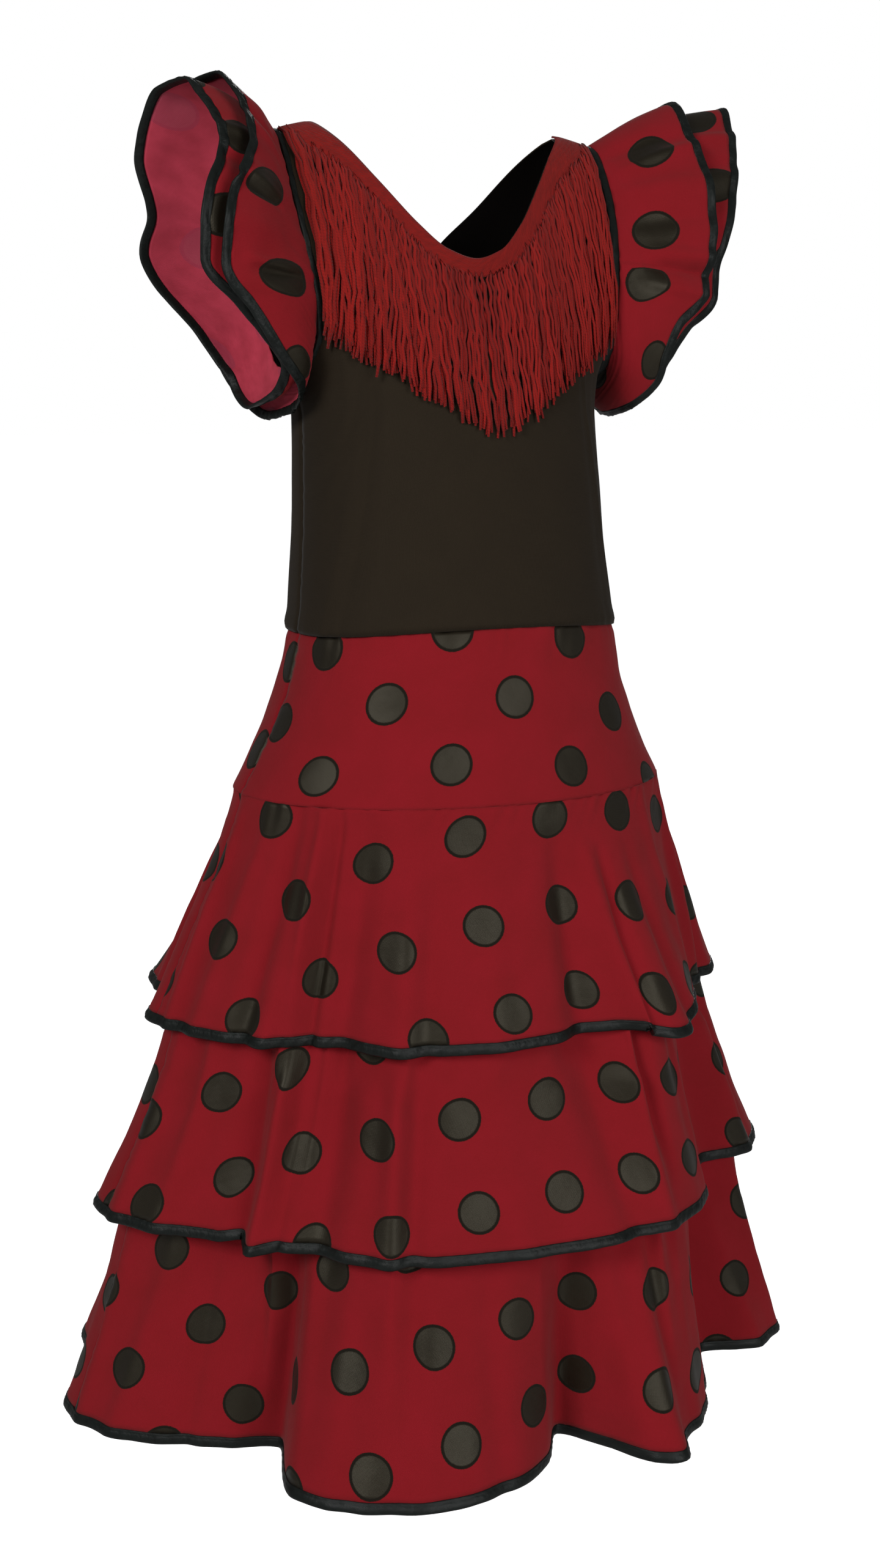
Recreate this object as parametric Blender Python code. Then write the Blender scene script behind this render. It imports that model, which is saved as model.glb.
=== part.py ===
"""Girl's flamenco dress, filled out as it hangs from a wearer's shoulders.

A black jersey bodice with a V neck front and back, a fringe sewn round the front of the
neckline, two circular frills on each armhole, a red hip yoke and three circular flounces,
each frill and flounce edged with a folded black tape. Every piece that is cut and sewn on
its own is an object of its own, a wall of cloth with its neighbours a seam's width away.

Units are metres. +Z is up, the front faces -Y, the wearer's left is +X, and the origin
is the middle of the shoulder line, from which the dress hangs.
"""
import math
from bisect import bisect_right
from functools import lru_cache

import bmesh
import bpy
from mathutils import Vector

# ------------------------------------------------------------------ cloth and seams
SEAM = 0.0003            # clear space between two pieces that are sewn together
JERSEY = 0.0014          # thickness of the bodice cloth
SATIN = 0.0013           # thickness of the skirt and frill cloth
TAPE_WIDTH = 0.0060      # height of the folded tape along a hem
TAPE_THICKNESS = 0.0026  # the tape's two layers with the cloth between them
TAPE_GAP = 0.0005        # clear space between a hem and its tape
PIPING_RADIUS = 0.0013   # cord round the armhole

# ------------------------------------------------------------------ bodice
# drop below the shoulder line, half width, centre's shift to the back
BODY_WIDTH = (
    (0.000, 0.212, 0.000),
    (0.030, 0.198, -0.001),
    (0.060, 0.182, -0.004),
    (0.085, 0.168, -0.006),
    (0.105, 0.150, -0.008),
    (0.130, 0.127, -0.010),
    (0.158, 0.107, -0.013),
    (0.185, 0.1020, -0.017),
    (0.240, 0.1035, -0.022),
    (0.323, 0.110, -0.027),
)
# drop below the shoulder line, half depth
BODY_DEPTH = (
    (0.000, 0.000),
    (0.010, 0.020),
    (0.040, 0.040),
    (0.085, 0.058),
    (0.120, 0.069),
    (0.150, 0.0755),
    (0.190, 0.081),
    (0.250, 0.085),
    (0.323, 0.091),
)
BODY_SQUARENESS = 0.8    # power of the cosine in a section, under 1 is fuller at the sides
SHOULDER_FALL = 0.22     # drop of the shoulder seam for each metre outward
NECK_HALF_WIDTH = 0.088  # half the distance between the two neck points
STRAP_END = 0.112        # distance of the shoulder seam's outer end from the middle
UNDERARM = 0.158         # drop of the underarm point
WAIST = 0.323            # drop of the waist seam at the sides
WAIST_FRONT_RISE = 0.007 # the waist seam is this much higher in the middle of the front
# distance from the middle, drop of the neck edge
FRONT_NECK = (
    (0.000, 0.0855),
    (0.018, 0.0800),
    (0.036, 0.0640),
    (0.057, 0.0370),
    (0.074, 0.0145),
    (0.088, 0.0000),
)
BACK_NECK = (
    (0.000, 0.0880),
    (0.014, 0.0820),
    (0.030, 0.0640),
    (0.050, 0.0440),
    (0.074, 0.0150),
    (0.088, 0.0000),
)
# drop, distance of the armhole's edge from the middle
ARMHOLE = (
    (0.0053, 0.1120),
    (0.040, 0.1120),
    (0.080, 0.1085),
    (0.110, 0.1045),
    (0.135, 0.1030),
    (0.158, 0.1070),
)
BODICE_COLUMNS = 28      # cells across a front or a back, in sevenths of its half
NECK_COLUMNS = 6         # of the 14 on each side, those that end on the neck edge
STRAP_COLUMNS = 2        # and those that end on the shoulder seam
BODICE_ROWS = 7

# ------------------------------------------------------------------ skirt
YOKE_HEM = 0.4265        # drop of the seam below the yoke
YOKE_HALF_WIDTH = 0.151
YOKE_HALF_DEPTH = 0.112
YOKE_SHIFT = -0.025
YOKE_FLARE = 1.55
YOKE_ROWS = 2
SKIRT_COLUMNS = 40       # cells across the front or the back of a flounce
FLOUNCE_ROWS = 4
# name, drop of the hem, half width, half depth, shift, share of its fall at which the next
# flounce is sewn to its inside, hang (how late it turns outward)
FLOUNCES = (
    ("tier_1", 0.580, 0.205, 0.137, -0.008, 0.74, 0.08),
    ("tier_2", 0.708, 0.243, 0.167, -0.009, 0.76, 0.50),
    ("tier_3", 0.850, 0.265, 0.190, -0.002, 1.00, 0.50),
)
CREST_GROWTH = 1.7       # folds that stand out grow late down a flounce
TROUGH_GROWTH = 0.9      # and folds that fall in grow early
# each flounce's hem: angle from the front toward the wearer's left, millimetres outward
FOLDS = (
    ((-135, 30), (-112, -14), (-95, 3), (-78, -6), (-60, -5), (-53, -2), (-47, -15),
     (-38, -8), (-22, 11), (-5, 15), (4, 13), (10, 9), (16, 10), (22, 31), (27, 34),
     (34, 23), (47, 0), (58, -10), (70, 2), (92, 8), (112, -12), (134, 16), (158, -10),
     (-178, 12), (-158, -8)),
    ((-130, 12), (-112, -12), (-97, 3), (-80, -8), (-62, -24), (-50, -18), (-43, -17),
     (-32, -2), (-20, 10), (-5, 13), (14, 20), (27, 12), (40, -16), (52, -32), (59, -12),
     (70, -1), (88, 3), (108, -16), (132, 16), (156, -14), (178, 14), (-152, -10)),
    ((-128, 18), (-112, -18), (-95, 5), (-81, -5), (-60, -36), (-47, -49), (-38, 13),
     (-28, 33), (-18, 35), (-9, 24), (-2, 2), (4, -31), (8, -2), (11, 32), (14, 41),
     (18, 22), (28, 2), (40, -30), (49, -44), (55, -6), (64, -1), (84, -1), (106, -26),
     (130, 20), (154, -24), (178, 22), (-152, -16)),
)

# ------------------------------------------------------------------ sleeve frills
FRILL_COLUMNS = 32
FRILL_ROWS = 3
FRILL_BULGE = 0.005      # a frill stands this much proud of a straight line to its rim
FRILL_SPREAD = 0.007     # clear height between the two frills at their rims
# rim of the longer frill: turn about the arm (0 top, 90 front, 180 under, 270 back),
# distance from the middle, forward, height, and how much shorter the upper frill is
RIGHT_RIM = (
    (0, 0.171, 0.000, 0.0258, 0.019),
    (20, 0.168, 0.017, 0.0152, 0.019),
    (38, 0.165, 0.033, 0.0027, 0.018),
    (60, 0.164, 0.049, -0.0137, 0.016),
    (70, 0.169, 0.059, -0.0271, 0.014),
    (82, 0.181, 0.071, -0.0478, 0.012),
    (92, 0.186, 0.075, -0.0694, 0.011),
    (103, 0.186, 0.072, -0.0896, 0.010),
    (116, 0.164, 0.068, -0.1133, 0.007),
    (130, 0.144, 0.063, -0.1354, 0.005),
    (150, 0.126, 0.050, -0.1600, 0.006),
    (170, 0.123, 0.026, -0.1764, 0.007),
    (190, 0.126, -0.012, -0.1820, 0.007),
    (212, 0.131, -0.042, -0.1636, 0.005),
    (235, 0.149, -0.055, -0.1303, 0.008),
    (258, 0.183, -0.064, -0.0770, 0.011),
    (278, 0.179, -0.058, -0.0549, 0.013),
    (300, 0.188, -0.053, -0.0180, 0.014),
    (330, 0.181, -0.028, 0.0212, 0.018),
)
LEFT_RIM = (
    (0, 0.225, 0.000, 0.0282, 0.042),
    (25, 0.221, 0.018, 0.0112, 0.040),
    (58, 0.212, 0.042, -0.0248, 0.029),
    (78, 0.197, 0.056, -0.0659, 0.016),
    (90, 0.191, 0.054, -0.0889, 0.014),
    (98, 0.192, 0.052, -0.1037, 0.018),
    (112, 0.172, 0.053, -0.1235, 0.018),
    (126, 0.159, 0.049, -0.1456, 0.015),
    (140, 0.150, 0.043, -0.1622, 0.009),
    (155, 0.139, 0.033, -0.1750, 0.009),
    (172, 0.136, 0.013, -0.1778, 0.008),
    (190, 0.138, -0.015, -0.1680, 0.006),
    (210, 0.142, -0.035, -0.1530, 0.004),
    (235, 0.162, -0.050, -0.1250, 0.008),
    (265, 0.190, -0.060, -0.0800, 0.014),
    (300, 0.205, -0.055, -0.0200, 0.026),
    (335, 0.220, -0.028, 0.0180, 0.036),
)

# ------------------------------------------------------------------ fringe
HEADING_WIDTH = 0.012    # woven band from which the strands hang
HEADING_THICKNESS = 0.0012
STRANDS = 84
STRAND_SEGMENTS = 4
STRAND_WIDTH = 0.0017
STRAND_SPREAD = 0.0135   # outward travel of the outermost strands
STRAND_BOW = 0.006       # the strands at the neck points first fall toward the arm
STRAND_LIFT = 0.0012     # strands lie this far off the bodice, three times it at the sides
# distance from the middle, drop of the fringe's lower edge
FRINGE_EDGE = (
    (0.000, 0.1970),
    (0.020, 0.1880),
    (0.045, 0.1730),
    (0.067, 0.1580),
    (0.090, 0.1430),
    (0.113, 0.1220),
)

# ------------------------------------------------------------------ colours
BLACK_JERSEY = (0.021, 0.015, 0.010)
RED_SATIN = (0.216, 0.009, 0.016)
RED_FRINGE = (0.216, 0.010, 0.008)
BLACK_TAPE = (0.010, 0.011, 0.010)

FRONT = -1
BACK = 1


class Curve:
    """A smooth line through (where, value) rows that never swings past a row."""

    def __init__(self, rows, period=None):
        rows = sorted((row[0], row[1]) for row in rows)
        if period:
            before = [(where - period, value) for where, value in rows[-3:]]
            after = [(where + period, value) for where, value in rows[:3]]
            rows = before + rows + after
        self.period = period
        self.start = rows[3][0] if period else rows[0][0]
        self.wheres = [row[0] for row in rows]
        self.values = [row[1] for row in rows]
        self.slopes = self.find_slopes()

    def find_slopes(self):
        chords = []
        for i in range(len(self.wheres) - 1):
            run = self.wheres[i + 1] - self.wheres[i]
            chords.append((self.values[i + 1] - self.values[i]) / run)
        slopes = [chords[0]]
        for before, after in zip(chords, chords[1:]):
            turning = before * after <= 0.0
            slopes.append(0.0 if turning else 2.0 * before * after / (before + after))
        return slopes + [chords[-1]]

    def __call__(self, where):
        if self.period:
            where = self.start + (where - self.start) % self.period
        where = min(max(where, self.wheres[0]), self.wheres[-1])
        i = min(bisect_right(self.wheres, where), len(self.wheres) - 1) - 1
        run = self.wheres[i + 1] - self.wheres[i]
        t = (where - self.wheres[i]) / run
        here, there = self.values[i], self.values[i + 1]
        ease = t * t * (3.0 - 2.0 * t)
        lead = t * (1.0 - t) ** 2 * self.slopes[i]
        tail = t * t * (t - 1.0) * self.slopes[i + 1]
        return here + (there - here) * ease + run * (lead + tail)


def mirrored(rows):
    return [(-row[0], row[1]) for row in rows[1:]] + list(rows)


half_width = Curve((drop, width) for drop, width, _ in BODY_WIDTH)
body_shift = Curve((drop, shift) for drop, _, shift in BODY_WIDTH)
depth_by_root = Curve((math.sqrt(drop), depth) for drop, depth in BODY_DEPTH)
neck_drop = {FRONT: Curve(mirrored(FRONT_NECK)), BACK: Curve(mirrored(BACK_NECK))}
armhole_reach = Curve(ARMHOLE)
fringe_drop = Curve(mirrored(FRINGE_EDGE))
fold_out = [Curve(folds, 360.0) for folds in FOLDS]


# ------------------------------------------------------------------ objects
def clear_scene():
    for thing in list(bpy.data.objects):
        bpy.data.objects.remove(thing)


def make_material(name, colour, roughness):
    material = bpy.data.materials.new(name)
    material.use_nodes = True
    shader = material.node_tree.nodes["Principled BSDF"]
    shader.inputs["Base Color"].default_value = (*colour, 1.0)
    shader.inputs["Roughness"].default_value = roughness
    shader.inputs["Metallic"].default_value = 0.0
    return material


def add_object(name, mesh, colour, roughness):
    thing = bpy.data.objects.new(name, mesh)
    bpy.context.scene.collection.objects.link(thing)
    mesh.materials.append(make_material(name, colour, roughness))
    return thing


def normal_at(place, turn, rise, step=0.0005):
    """Outward normal of a surface, measured on the surface itself."""
    left, right = max(turn - step, 0.0), min(turn + step, 1.0)
    low, high = max(rise - step, 0.0), min(rise + step, 1.0)
    across = place(right, rise) - place(left, rise)
    upward = place(turn, high) - place(turn, low)
    return across.cross(upward).normalized()


def wall_of(place, thickness, level=False):
    """Both faces of a wall whose outer face is a surface; level keeps each row's height."""
    def faces(turn, rise):
        outer = place(turn, rise)
        inward = normal_at(place, turn, rise)
        if level:
            inward.z = 0.0
            inward /= inward.length_squared
        return outer, outer - inward * thickness
    return faces


def grow_wall(faces, columns, rows, closed):
    """A wall from faces(turn, rise), its outer and inner points, rising from its hem."""
    mesh = bmesh.new()
    turn = mesh.verts.layers.float.new("turn")
    rise = mesh.verts.layers.float.new("rise")
    bmesh.ops.create_grid(mesh, x_segments=columns, y_segments=rows, size=0.5)
    for vert in mesh.verts:
        vert[turn] = round((vert.co.x + 0.5) * columns) / columns
        vert[rise] = round((vert.co.y + 0.5) * rows) / rows
        vert.co = faces(vert[turn], vert[rise])[0]
    if closed:
        bmesh.ops.remove_doubles(mesh, verts=mesh.verts[:], dist=1e-6)
    grown = bmesh.ops.extrude_face_region(mesh, geom=mesh.faces[:], use_keep_orig=True)
    for vert in grown["geom"]:
        if isinstance(vert, bmesh.types.BMVert):
            vert.co = faces(vert[turn], vert[rise])[1]
    bmesh.ops.recalc_face_normals(mesh, faces=mesh.faces[:])
    return mesh


def add_wall(name, faces, columns, rows, colour, closed=False, roughness=0.7):
    grown = grow_wall(faces, columns, rows, closed)
    mesh = bpy.data.meshes.new(name)
    grown.to_mesh(mesh)
    grown.free()
    mesh.shade_smooth()
    mesh.set_sharp_from_angle(angle=math.radians(50.0))
    return add_object(name, mesh, colour, roughness)


# ------------------------------------------------------------------ bodice
def shoulder_fall(x):
    return SHOULDER_FALL * max(abs(x) - NECK_HALF_WIDTH, 0.0)


def section_point(angle, half_w, half_d, shift, squareness, drop):
    """Point of a level section, at an angle from the front toward the wearer's left."""
    forward = math.cos(angle)
    depth = math.copysign(abs(forward) ** squareness, forward) * half_d
    return Vector((half_w * math.sin(angle), shift - depth, -drop))


def body_point(x, drop, side):
    """Point of the bodice's outer face at a distance from the middle and a drop."""
    sine = min(abs(x) / half_width(drop), 1.0)
    depth = depth_by_root(math.sqrt(max(drop - shoulder_fall(x), 0.0)))
    fullness = (1.0 - sine * sine) ** (BODY_SQUARENESS / 2.0)
    y = body_shift(drop) + side * depth * fullness
    return Vector((x, y, -drop))


def waist_drop(angle):
    return WAIST - WAIST_FRONT_RISE * max(math.cos(angle), 0.0) ** 2


def armhole_edge(share):
    """Distance and drop of the armhole's edge, from shoulder seam (0) to underarm (1)."""
    top = shoulder_fall(STRAP_END)
    drop = top + (UNDERARM - top) * math.sin(share * math.pi / 2.0)
    return armhole_reach(drop), drop


def panel_edge(share, side):
    """Distance and drop where a column of a bodice panel ends, middle (0) to side (1)."""
    half_columns = BODICE_COLUMNS / 2
    column = share * half_columns
    if column <= NECK_COLUMNS:
        x = NECK_HALF_WIDTH * column / NECK_COLUMNS
        return x, neck_drop[side](x)
    column -= NECK_COLUMNS
    if column <= STRAP_COLUMNS:
        x = NECK_HALF_WIDTH + (STRAP_END - NECK_HALF_WIDTH) * column / STRAP_COLUMNS
        return x, shoulder_fall(x)
    column -= STRAP_COLUMNS
    return armhole_edge(column / (half_columns - NECK_COLUMNS - STRAP_COLUMNS))


def bodice_panel(side):
    def place(turn, rise):
        share = 2.0 * turn - 1.0
        top_x, top_drop = panel_edge(abs(share), side)
        low_angle = abs(share) * math.pi / 2.0
        facing = low_angle if side == FRONT else math.pi - low_angle
        low_drop = waist_drop(facing)
        top_angle = math.asin(min(top_x / half_width(top_drop), 1.0))
        up = 1.0 - (1.0 - rise) ** 1.5
        angle = low_angle + (top_angle - low_angle) * up
        drop = low_drop + (top_drop - low_drop) * up
        x = math.copysign(half_width(drop) * math.sin(angle), -side * share)
        return body_point(x, drop, side) + Vector((0.0, side * SEAM / 2.0, 0.0))
    return place


def add_bodice():
    for name, side in (("bodice_front", FRONT), ("bodice_back", BACK)):
        faces = wall_of(bodice_panel(side), JERSEY)
        add_wall(name, faces, BODICE_COLUMNS, BODICE_ROWS, BLACK_JERSEY)


# ------------------------------------------------------------------ skirt
def waist_ring(angle):
    return section_point(angle, half_width(WAIST), depth_by_root(math.sqrt(WAIST)),
                         body_shift(WAIST), BODY_SQUARENESS, waist_drop(angle) + SEAM)


def yoke_point(angle, fall):
    """Point of the hip yoke, from the waist seam (0) to the seam below (1)."""
    top = waist_ring(angle)
    low = section_point(angle, YOKE_HALF_WIDTH, YOKE_HALF_DEPTH, YOKE_SHIFT, 1.0, YOKE_HEM)
    point = top.lerp(low, fall ** YOKE_FLARE)
    point.z = top.z + (low.z - top.z) * fall
    return point


def flounce_hem(number, angle):
    """Hem of a flounce without its folds."""
    _, drop, half_w, half_d, shift = FLOUNCES[number][:5]
    return section_point(angle, half_w, half_d, shift, 1.0, drop - TAPE_WIDTH - TAPE_GAP)


@lru_cache(maxsize=None)
def flounce_top(number, angle):
    """Upper edge of a flounce, against the piece that carries it."""
    if number == 0:
        return yoke_point(angle, 1.0) - Vector((0.0, 0.0, SEAM))
    join = FLOUNCES[number - 1][5]
    step = 0.0005
    across = (flounce_point(number - 1, angle + step, join)
              - flounce_point(number - 1, angle - step, join))
    upward = (flounce_point(number - 1, angle, join - step)
              - flounce_point(number - 1, angle, join + step))
    inward = -across.cross(upward).normalized()
    inward.z = 0.0
    inward /= inward.length_squared
    return flounce_point(number - 1, angle, join) + inward * (SATIN + SEAM)


def flounce_point(number, angle, fall):
    """Point of a flounce, from its upper edge (0) to its hem (1), and past it."""
    hang = FLOUNCES[number][6]
    top = flounce_top(number, angle)
    low = flounce_hem(number, angle)
    level = math.hypot(hang, 1.0) - hang
    outward = (math.hypot(hang, fall) - hang) / level
    point = top.lerp(low, outward)
    point.z = top.z + (low.z - top.z) * fall
    fold = 0.001 * fold_out[number](math.degrees(angle))
    fold *= fall ** (CREST_GROWTH if fold > 0.0 else TROUGH_GROWTH)
    return point + fold * Vector((math.sin(angle), -math.cos(angle), 0.0))


def skirt_panel(point_at, side):
    """Front or back half of a ring of cloth, from side seam to side seam."""
    start = -math.pi / 2.0 if side == FRONT else math.pi / 2.0

    def place(turn, rise):
        shift = Vector((0.0, side * SEAM / 2.0, 0.0))
        return point_at(start + math.pi * turn, 1.0 - rise) + shift
    return place


def add_yoke():
    for name, side in (("yoke_front", FRONT), ("yoke_back", BACK)):
        faces = wall_of(skirt_panel(yoke_point, side), SATIN, level=True)
        add_wall(name, faces, BODICE_COLUMNS, YOKE_ROWS, RED_SATIN)


def fall_steps(join):
    """Rows of a flounce as shares of its fall, with one on the next flounce's seam."""
    return (0.0, join / 3.0, join * 2.0 / 3.0, join, 1.0) if join < 1.0 else (
        0.0, 0.25, 0.5, 0.75, 1.0)


def add_flounce(number):
    name, join = FLOUNCES[number][0], FLOUNCES[number][5]
    steps = fall_steps(join)
    row_at = Curve(zip((0.0, 0.25, 0.5, 0.75, 1.0), steps))

    def point_at(angle, share):
        return flounce_point(number, angle, row_at(share))

    for half, side in (("front", FRONT), ("back", BACK)):
        faces = wall_of(skirt_panel(point_at, side), SATIN, level=True)
        add_wall(f"{name}_{half}", faces, SKIRT_COLUMNS, FLOUNCE_ROWS, RED_SATIN)


def tape_faces(point_at):
    """Both faces of a tape that carries on past the hem of point_at(turn, fall)."""
    def faces(turn, rise):
        step = 0.0005
        hem = point_at(turn, 1.0)
        across = point_at(turn + step, 1.0) - point_at(turn - step, 1.0)
        outward = (hem - point_at(turn, 1.0 - step)).cross(across).normalized()
        down = across.cross(outward).normalized()
        middle = hem - outward * SATIN / 2.0 + down * (TAPE_GAP + TAPE_WIDTH * (1.0 - rise))
        half = outward * TAPE_THICKNESS / 2.0
        return middle + half, middle - half
    return faces


def add_hem_tape(number):
    def point_at(turn, fall):
        return flounce_point(number, math.tau * turn, fall)

    add_wall(f"{FLOUNCES[number][0]}_tape", tape_faces(point_at), 2 * SKIRT_COLUMNS, 1,
             BLACK_TAPE, closed=True)


# ------------------------------------------------------------------ sleeves
def armhole_point(hand, turn):
    """Edge of the armhole at a turn about the arm: 0 top, 0.25 front, 0.5 underarm."""
    top = shoulder_fall(STRAP_END)
    drop = top + (UNDERARM - top) * (1.0 - math.cos(math.tau * turn)) / 2.0
    side = FRONT if turn % 1.0 <= 0.5 else BACK
    return body_point(hand * armhole_reach(drop), drop, side)


def rim_curves(rim):
    return [Curve(((row[0], row[i]) for row in rim), 360.0) for i in range(1, 5)]


rim_of = {1: rim_curves(LEFT_RIM), -1: rim_curves(RIGHT_RIM)}


def under_frill_point(hand, turn, fall):
    """Point of the longer frill, from the armhole seam (0) to its rim (1), and past it."""
    reach, forward, height = (curve(360.0 * turn) for curve in rim_of[hand][:3])
    clear = 2.0 * PIPING_RADIUS + 2.0 * SEAM + SATIN
    seam = armhole_point(hand, turn) + Vector((hand * clear, 0.0, 0.0))
    rim = Vector((hand * reach, -forward, height))
    rim -= (rim - seam).normalized() * (TAPE_WIDTH + TAPE_GAP)
    angle = math.tau * turn
    away = Vector((0.0, -math.sin(angle), math.cos(angle)))
    return seam.lerp(rim, fall) + away * FRILL_BULGE * math.sin(math.pi * min(fall, 1.0))


def upper_frill_point(hand, turn, fall):
    """Point of the shorter frill, which lies on the longer one and stands off it."""
    step, wide_step = 0.002, 0.04
    length = (under_frill_point(hand, turn, 1.0) - under_frill_point(hand, turn, 0.0)).length
    share = fall * (1.0 - rim_of[hand][3](360.0 * turn) / length)
    point = under_frill_point(hand, turn, share)
    down = (under_frill_point(hand, turn, share + step) - point).normalized()
    across = (under_frill_point(hand, turn + wide_step, share)
              - under_frill_point(hand, turn - wide_step, share))
    outward = hand * across.cross(down).normalized()
    return point + outward * (SATIN + SEAM + FRILL_SPREAD * fall)


def add_frill(hand, layer):
    name = f"frill_{layer}_{'left' if hand > 0 else 'right'}"
    frill_point = under_frill_point if layer == "under" else upper_frill_point

    def point_at(turn, fall):
        return frill_point(hand, -hand * turn, fall)

    def place(turn, rise):
        return point_at(turn, 1.0 - rise)

    faces = wall_of(place, SATIN)
    add_wall(name, faces, FRILL_COLUMNS, FRILL_ROWS, RED_SATIN, closed=True)
    add_wall(name + "_tape", tape_faces(point_at), FRILL_COLUMNS, 1, BLACK_TAPE, closed=True)


def add_armhole_piping(hand):
    name = f"armhole_piping_{'left' if hand > 0 else 'right'}"
    curve = bpy.data.curves.new(name, "CURVE")
    curve.dimensions = "3D"
    curve.bevel_depth = PIPING_RADIUS
    curve.bevel_resolution = 0
    line = curve.splines.new("POLY")
    line.points.add(FRILL_COLUMNS - 1)
    line.use_cyclic_u = True
    away = Vector((hand * (PIPING_RADIUS + SEAM), 0.0, 0.0))
    for i, point in enumerate(line.points):
        place = armhole_point(hand, i / FRILL_COLUMNS) + away
        point.co = (*place, 1.0)
    add_object(name, curve, BLACK_TAPE, 0.6)


# ------------------------------------------------------------------ fringe
def body_normal(x, drop, side):
    step = 0.00002
    fall = max(drop, shoulder_fall(x) + step)
    across = body_point(x + step, fall, side) - body_point(x - step, fall, side)
    upward = body_point(x, fall - step, side) - body_point(x, fall + step, side)
    return -side * across.cross(upward).normalized()


def on_bodice(x, drop, lift):
    """A place at a height above the bodice front's outer face."""
    drop = max(drop, shoulder_fall(x))
    return body_point(x, drop, FRONT) + body_normal(x, drop, FRONT) * lift


def neck_stations(count):
    """Distances from the middle that part the front neck edge into equal lengths."""
    fine = 400
    xs = [NECK_HALF_WIDTH * (2.0 * i / fine - 1.0) for i in range(fine + 1)]
    points = [body_point(x, neck_drop[FRONT](abs(x)), FRONT) for x in xs]
    lengths = [0.0]
    for before, after in zip(points, points[1:]):
        lengths.append(lengths[-1] + (after - before).length)
    x_at = Curve(zip(lengths, xs))
    return [x_at(lengths[-1] * i / count) for i in range(count + 1)]


def heading_edge(x):
    """Distance and drop of the heading's lower edge below a place on the neck edge."""
    step = 0.0005
    near = min(abs(x), NECK_HALF_WIDTH - step)
    slope = (neck_drop[FRONT](near + step) - neck_drop[FRONT](max(near - step, 0.0))) / (
        step + min(near, step))
    square = Vector((-slope, 1.0)).normalized()
    along_seam = Vector((1.0, SHOULDER_FALL)).normalized()
    share = max(near / NECK_HALF_WIDTH - 0.75, 0.0) / 0.25
    away = square.lerp(along_seam, share * share).normalized() * HEADING_WIDTH
    return math.copysign(abs(x) + away.x, x), neck_drop[FRONT](abs(x)) + away.y


def strand_tip(x):
    """Distance and drop of the tip of the strand rooted at a distance from the middle."""
    tip_x = x + STRAND_SPREAD * math.tanh(x / 0.05)
    uneven = 0.0025 * math.sin(x * 5100.0) + 0.0020 * math.sin(x * 2300.0)
    return tip_x, fringe_drop(abs(tip_x)) + uneven


def strand_point(root, share):
    """Distance, drop and lift of a strand rooted below a place on the neck edge."""
    root_x, root_drop = heading_edge(root)
    tip_x, tip_drop = strand_tip(root)
    fall = share ** 1.5
    corner = (abs(root) / NECK_HALF_WIDTH) ** 4
    bow = math.copysign(STRAND_BOW * corner, root) * math.sin(math.pi * share)
    x = root_x + (tip_x - root_x) * share + bow
    drop = root_drop + (tip_drop - root_drop) * fall
    lift = SEAM + STRAND_LIFT * (1.0 + 2.0 * share * min(abs(root) / 0.05, 1.0))
    return x, max(drop, shoulder_fall(x) + 0.0002), lift


def grow_strand(mesh, face, corners, root):
    """Draw a strand out of a face of the heading's lower edge, whose corners are known."""
    for i in range(1, STRAND_SEGMENTS + 1):
        x, drop, lift = strand_point(root, i / STRAND_SEGMENTS)
        before = strand_point(root, i / STRAND_SEGMENTS - 0.02)
        inner = on_bodice(x, drop, lift)
        normal = body_normal(x, drop, FRONT)
        along = (inner - on_bodice(*before)).normalized()
        across = normal.cross(along).normalized() * STRAND_WIDTH / 2.0
        face = bmesh.ops.extrude_discrete_faces(mesh, faces=[face])["faces"][0]
        for vert, (side, height) in zip(face.verts, corners):
            vert.co = inner + across * side + normal * HEADING_THICKNESS * height


def heading_place(station, rise, lift):
    """A place on the heading, from its lower edge (0) to the neck edge (1)."""
    if rise > 0.5:
        return on_bodice(station, neck_drop[FRONT](abs(station)), lift)
    return on_bodice(*heading_edge(station), lift)


def add_fringe():
    """The heading is a band of cells; each second cell of its lower edge is a strand."""
    columns = 2 * STRANDS + 1
    stations = neck_stations(columns)
    mesh = bmesh.new()
    column_of = mesh.verts.layers.int.new("column")
    rise = mesh.verts.layers.float.new("rise")
    bmesh.ops.create_grid(mesh, x_segments=columns, y_segments=1, size=0.5)
    for vert in mesh.verts:
        vert[column_of] = round((vert.co.x + 0.5) * columns)
        vert[rise] = vert.co.y + 0.5
        vert.co = heading_place(stations[vert[column_of]], vert[rise],
                                SEAM + HEADING_THICKNESS)
    grown = bmesh.ops.extrude_face_region(mesh, geom=mesh.faces[:], use_keep_orig=True)
    inner = {vert for vert in grown["geom"] if isinstance(vert, bmesh.types.BMVert)}
    for vert in inner:
        vert.co = heading_place(stations[vert[column_of]], vert[rise], SEAM)
    bmesh.ops.recalc_face_normals(mesh, faces=mesh.faces[:])
    lower = [face for face in mesh.faces if all(vert[rise] < 0.5 for vert in face.verts)]
    for face in lower:
        column = min(vert[column_of] for vert in face.verts)
        if column % 2 == 1:
            corners = [(1.0 if vert[column_of] > column else -1.0,
                        0.0 if vert in inner else 1.0) for vert in face.verts]
            root = (stations[column] + stations[column + 1]) / 2.0
            grow_strand(mesh, face, corners, root)
    data = bpy.data.meshes.new("neck_fringe")
    mesh.to_mesh(data)
    mesh.free()
    add_object("neck_fringe", data, RED_FRINGE, 0.85)


def main():
    clear_scene()
    add_bodice()
    add_fringe()
    add_yoke()
    for number in range(len(FLOUNCES)):
        add_flounce(number)
        add_hem_tape(number)
    for hand in (-1, 1):
        add_armhole_piping(hand)
        add_frill(hand, "under")
        add_frill(hand, "upper")


main()
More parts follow.
